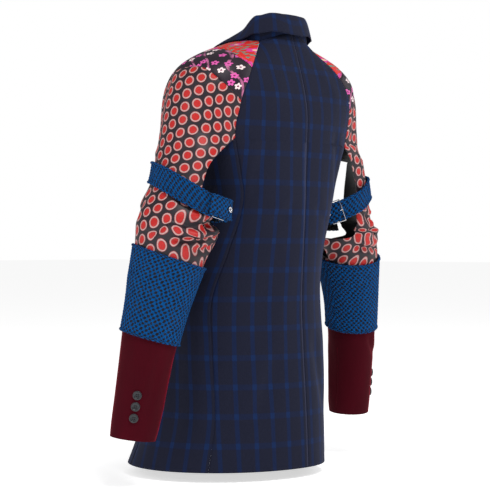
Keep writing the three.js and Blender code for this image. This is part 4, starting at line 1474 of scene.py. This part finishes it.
def front_seat(z):
    lift = float(overlap_lift(np.array(0.0), "left")) + FRONT_BUTTON_SEAT

    def at(height):
        return front_row(front_level(None, height), 0.0, "left", lift)
    up = at(z + 10) - at(z - 10)
    return at(z), -np.cross(up, (1, 0, 0)), up


def make_fastenings():
    cuff_button = button_shape(BUTTON_RADIUS, BUTTON_DEPTH)
    front_button = button_shape(FRONT_BUTTON_RADIUS, FRONT_BUTTON_DEPTH)
    buckle = buckle_shape()
    prong = prong_shape()
    eyelet = eyelet_shape()
    for half in ("left", "right"):
        places = FASTENING[half]
        buckle_seat = strap_seat(places["buckle"], BUCKLE_SEAT, half)
        seated(f"buckle_frame_{half}", buckle, buckle_seat, half, STEEL, f"buckle_{half}")
        prong_seat = (strap_seat(places["buckle"], PRONG_SEAT, half)[0],) + buckle_seat[1:]
        seated(f"buckle_tongue_{half}", prong, prong_seat, half, STEEL, f"prong_{half}")
        eyelet_seat = strap_seat(places["eyelet"], TAIL_LIFT + EYELET_SEAT, half)
        seated(f"strap_eyelet_{half}", eyelet, eyelet_seat, half, STEEL, f"eyelet_{half}")
        for n in range(BUTTON_COUNT):
            seat = cuff_seat(BUTTON_FIRST_Z - n * BUTTON_PITCH, half)
            name = f"sleeve_button_{half}_{n + 1}"
            seated(name, cuff_button, seat, half, HORN, f"cuff_button_{half}_{n + 1}")
    for n, z in enumerate(FRONT_BUTTON_Z):
        name = f"coat_button_{n + 1}"
        seated(name, front_button, front_seat(z), "left", HORN, f"front_button_{n + 1}")


make_collar()
for side in ("left", "right"):
    make_body(side)
    make_sleeve(side)
    make_forearm(side)
make_fastenings()


# The room: a pale floor under the hem, soft studio light and a camera behind the left shoulder.
CAMERA_PLACE = (2.199, 1.798, -0.353)
CAMERA_TURN = 130
CAMERA_LENS = 121
FLOOR_Z = -0.745
WORLD_STRENGTH = 0.34
# A little light of its own keeps the paper pale at the far side.
FLOOR_GLOW = 0.62


def make_room():
    bpy.ops.mesh.primitive_plane_add(size=60, location=(0, 0, FLOOR_Z))
    floor = bpy.context.object
    floor.name = "floor"
    material, tree = new_material("white_paper_sweep")
    place_on = add(tree, "ShaderNodeTexCoord", out=3)
    grain = add(tree, "ShaderNodeTexNoise", {"Vector": place_on, "Scale": 40.0})
    finish_material(tree, mix_colour(tree, grain, linear("#F6F6F6"), linear("#FAFAFA")), Roughness=0.9,
                    Specular_IOR_Level=0.0, Emission_Color=linear("#FFFFFF"), Emission_Strength=FLOOR_GLOW)
    floor.data.materials.append(material)
    world = bpy.data.worlds.new("studio")
    world.use_nodes = True
    tree = world.node_tree
    tree.nodes.clear()
    seen = add(tree, "ShaderNodeLightPath")
    strength = add(tree, "ShaderNodeMapRange", {"Value": seen, "To Min": WORLD_STRENGTH, "To Max": 1.0})
    sky = add(tree, "ShaderNodeBackground", {"Color": (1, 1, 1, 1), "Strength": strength})
    add(tree, "ShaderNodeOutputWorld", {"Surface": sky})
    bpy.context.scene.world = world
    lights = [
        ("key", (1.2, 2.2, 2.8), 1.4, 84),
        ("fill", (3.4, -0.4, 0.8), 2.4, 26),
        ("far_side", (-2.6, 1.6, 1.2), 1.8, 22),
    ]
    for name, where, size, power in lights:
        light = bpy.data.lights.new(name, "AREA")
        light.size = size
        light.energy = power
        lamp = bpy.data.objects.new(name, light)
        lamp.location = where
        aim = Vector((0, 0, -0.35)) - Vector(where)
        lamp.rotation_euler = aim.to_track_quat("-Z", "Y").to_euler()
        bpy.context.scene.collection.objects.link(lamp)
    camera_data = bpy.data.cameras.new("camera")
    camera_data.lens = CAMERA_LENS
    camera = bpy.data.objects.new("camera", camera_data)
    camera.location = CAMERA_PLACE
    camera.rotation_euler = Euler((math.radians(90), 0, math.radians(CAMERA_TURN)))
    bpy.context.scene.collection.objects.link(camera)
    bpy.context.scene.camera = camera
    bpy.context.scene.view_settings.view_transform = "Standard"


make_room()
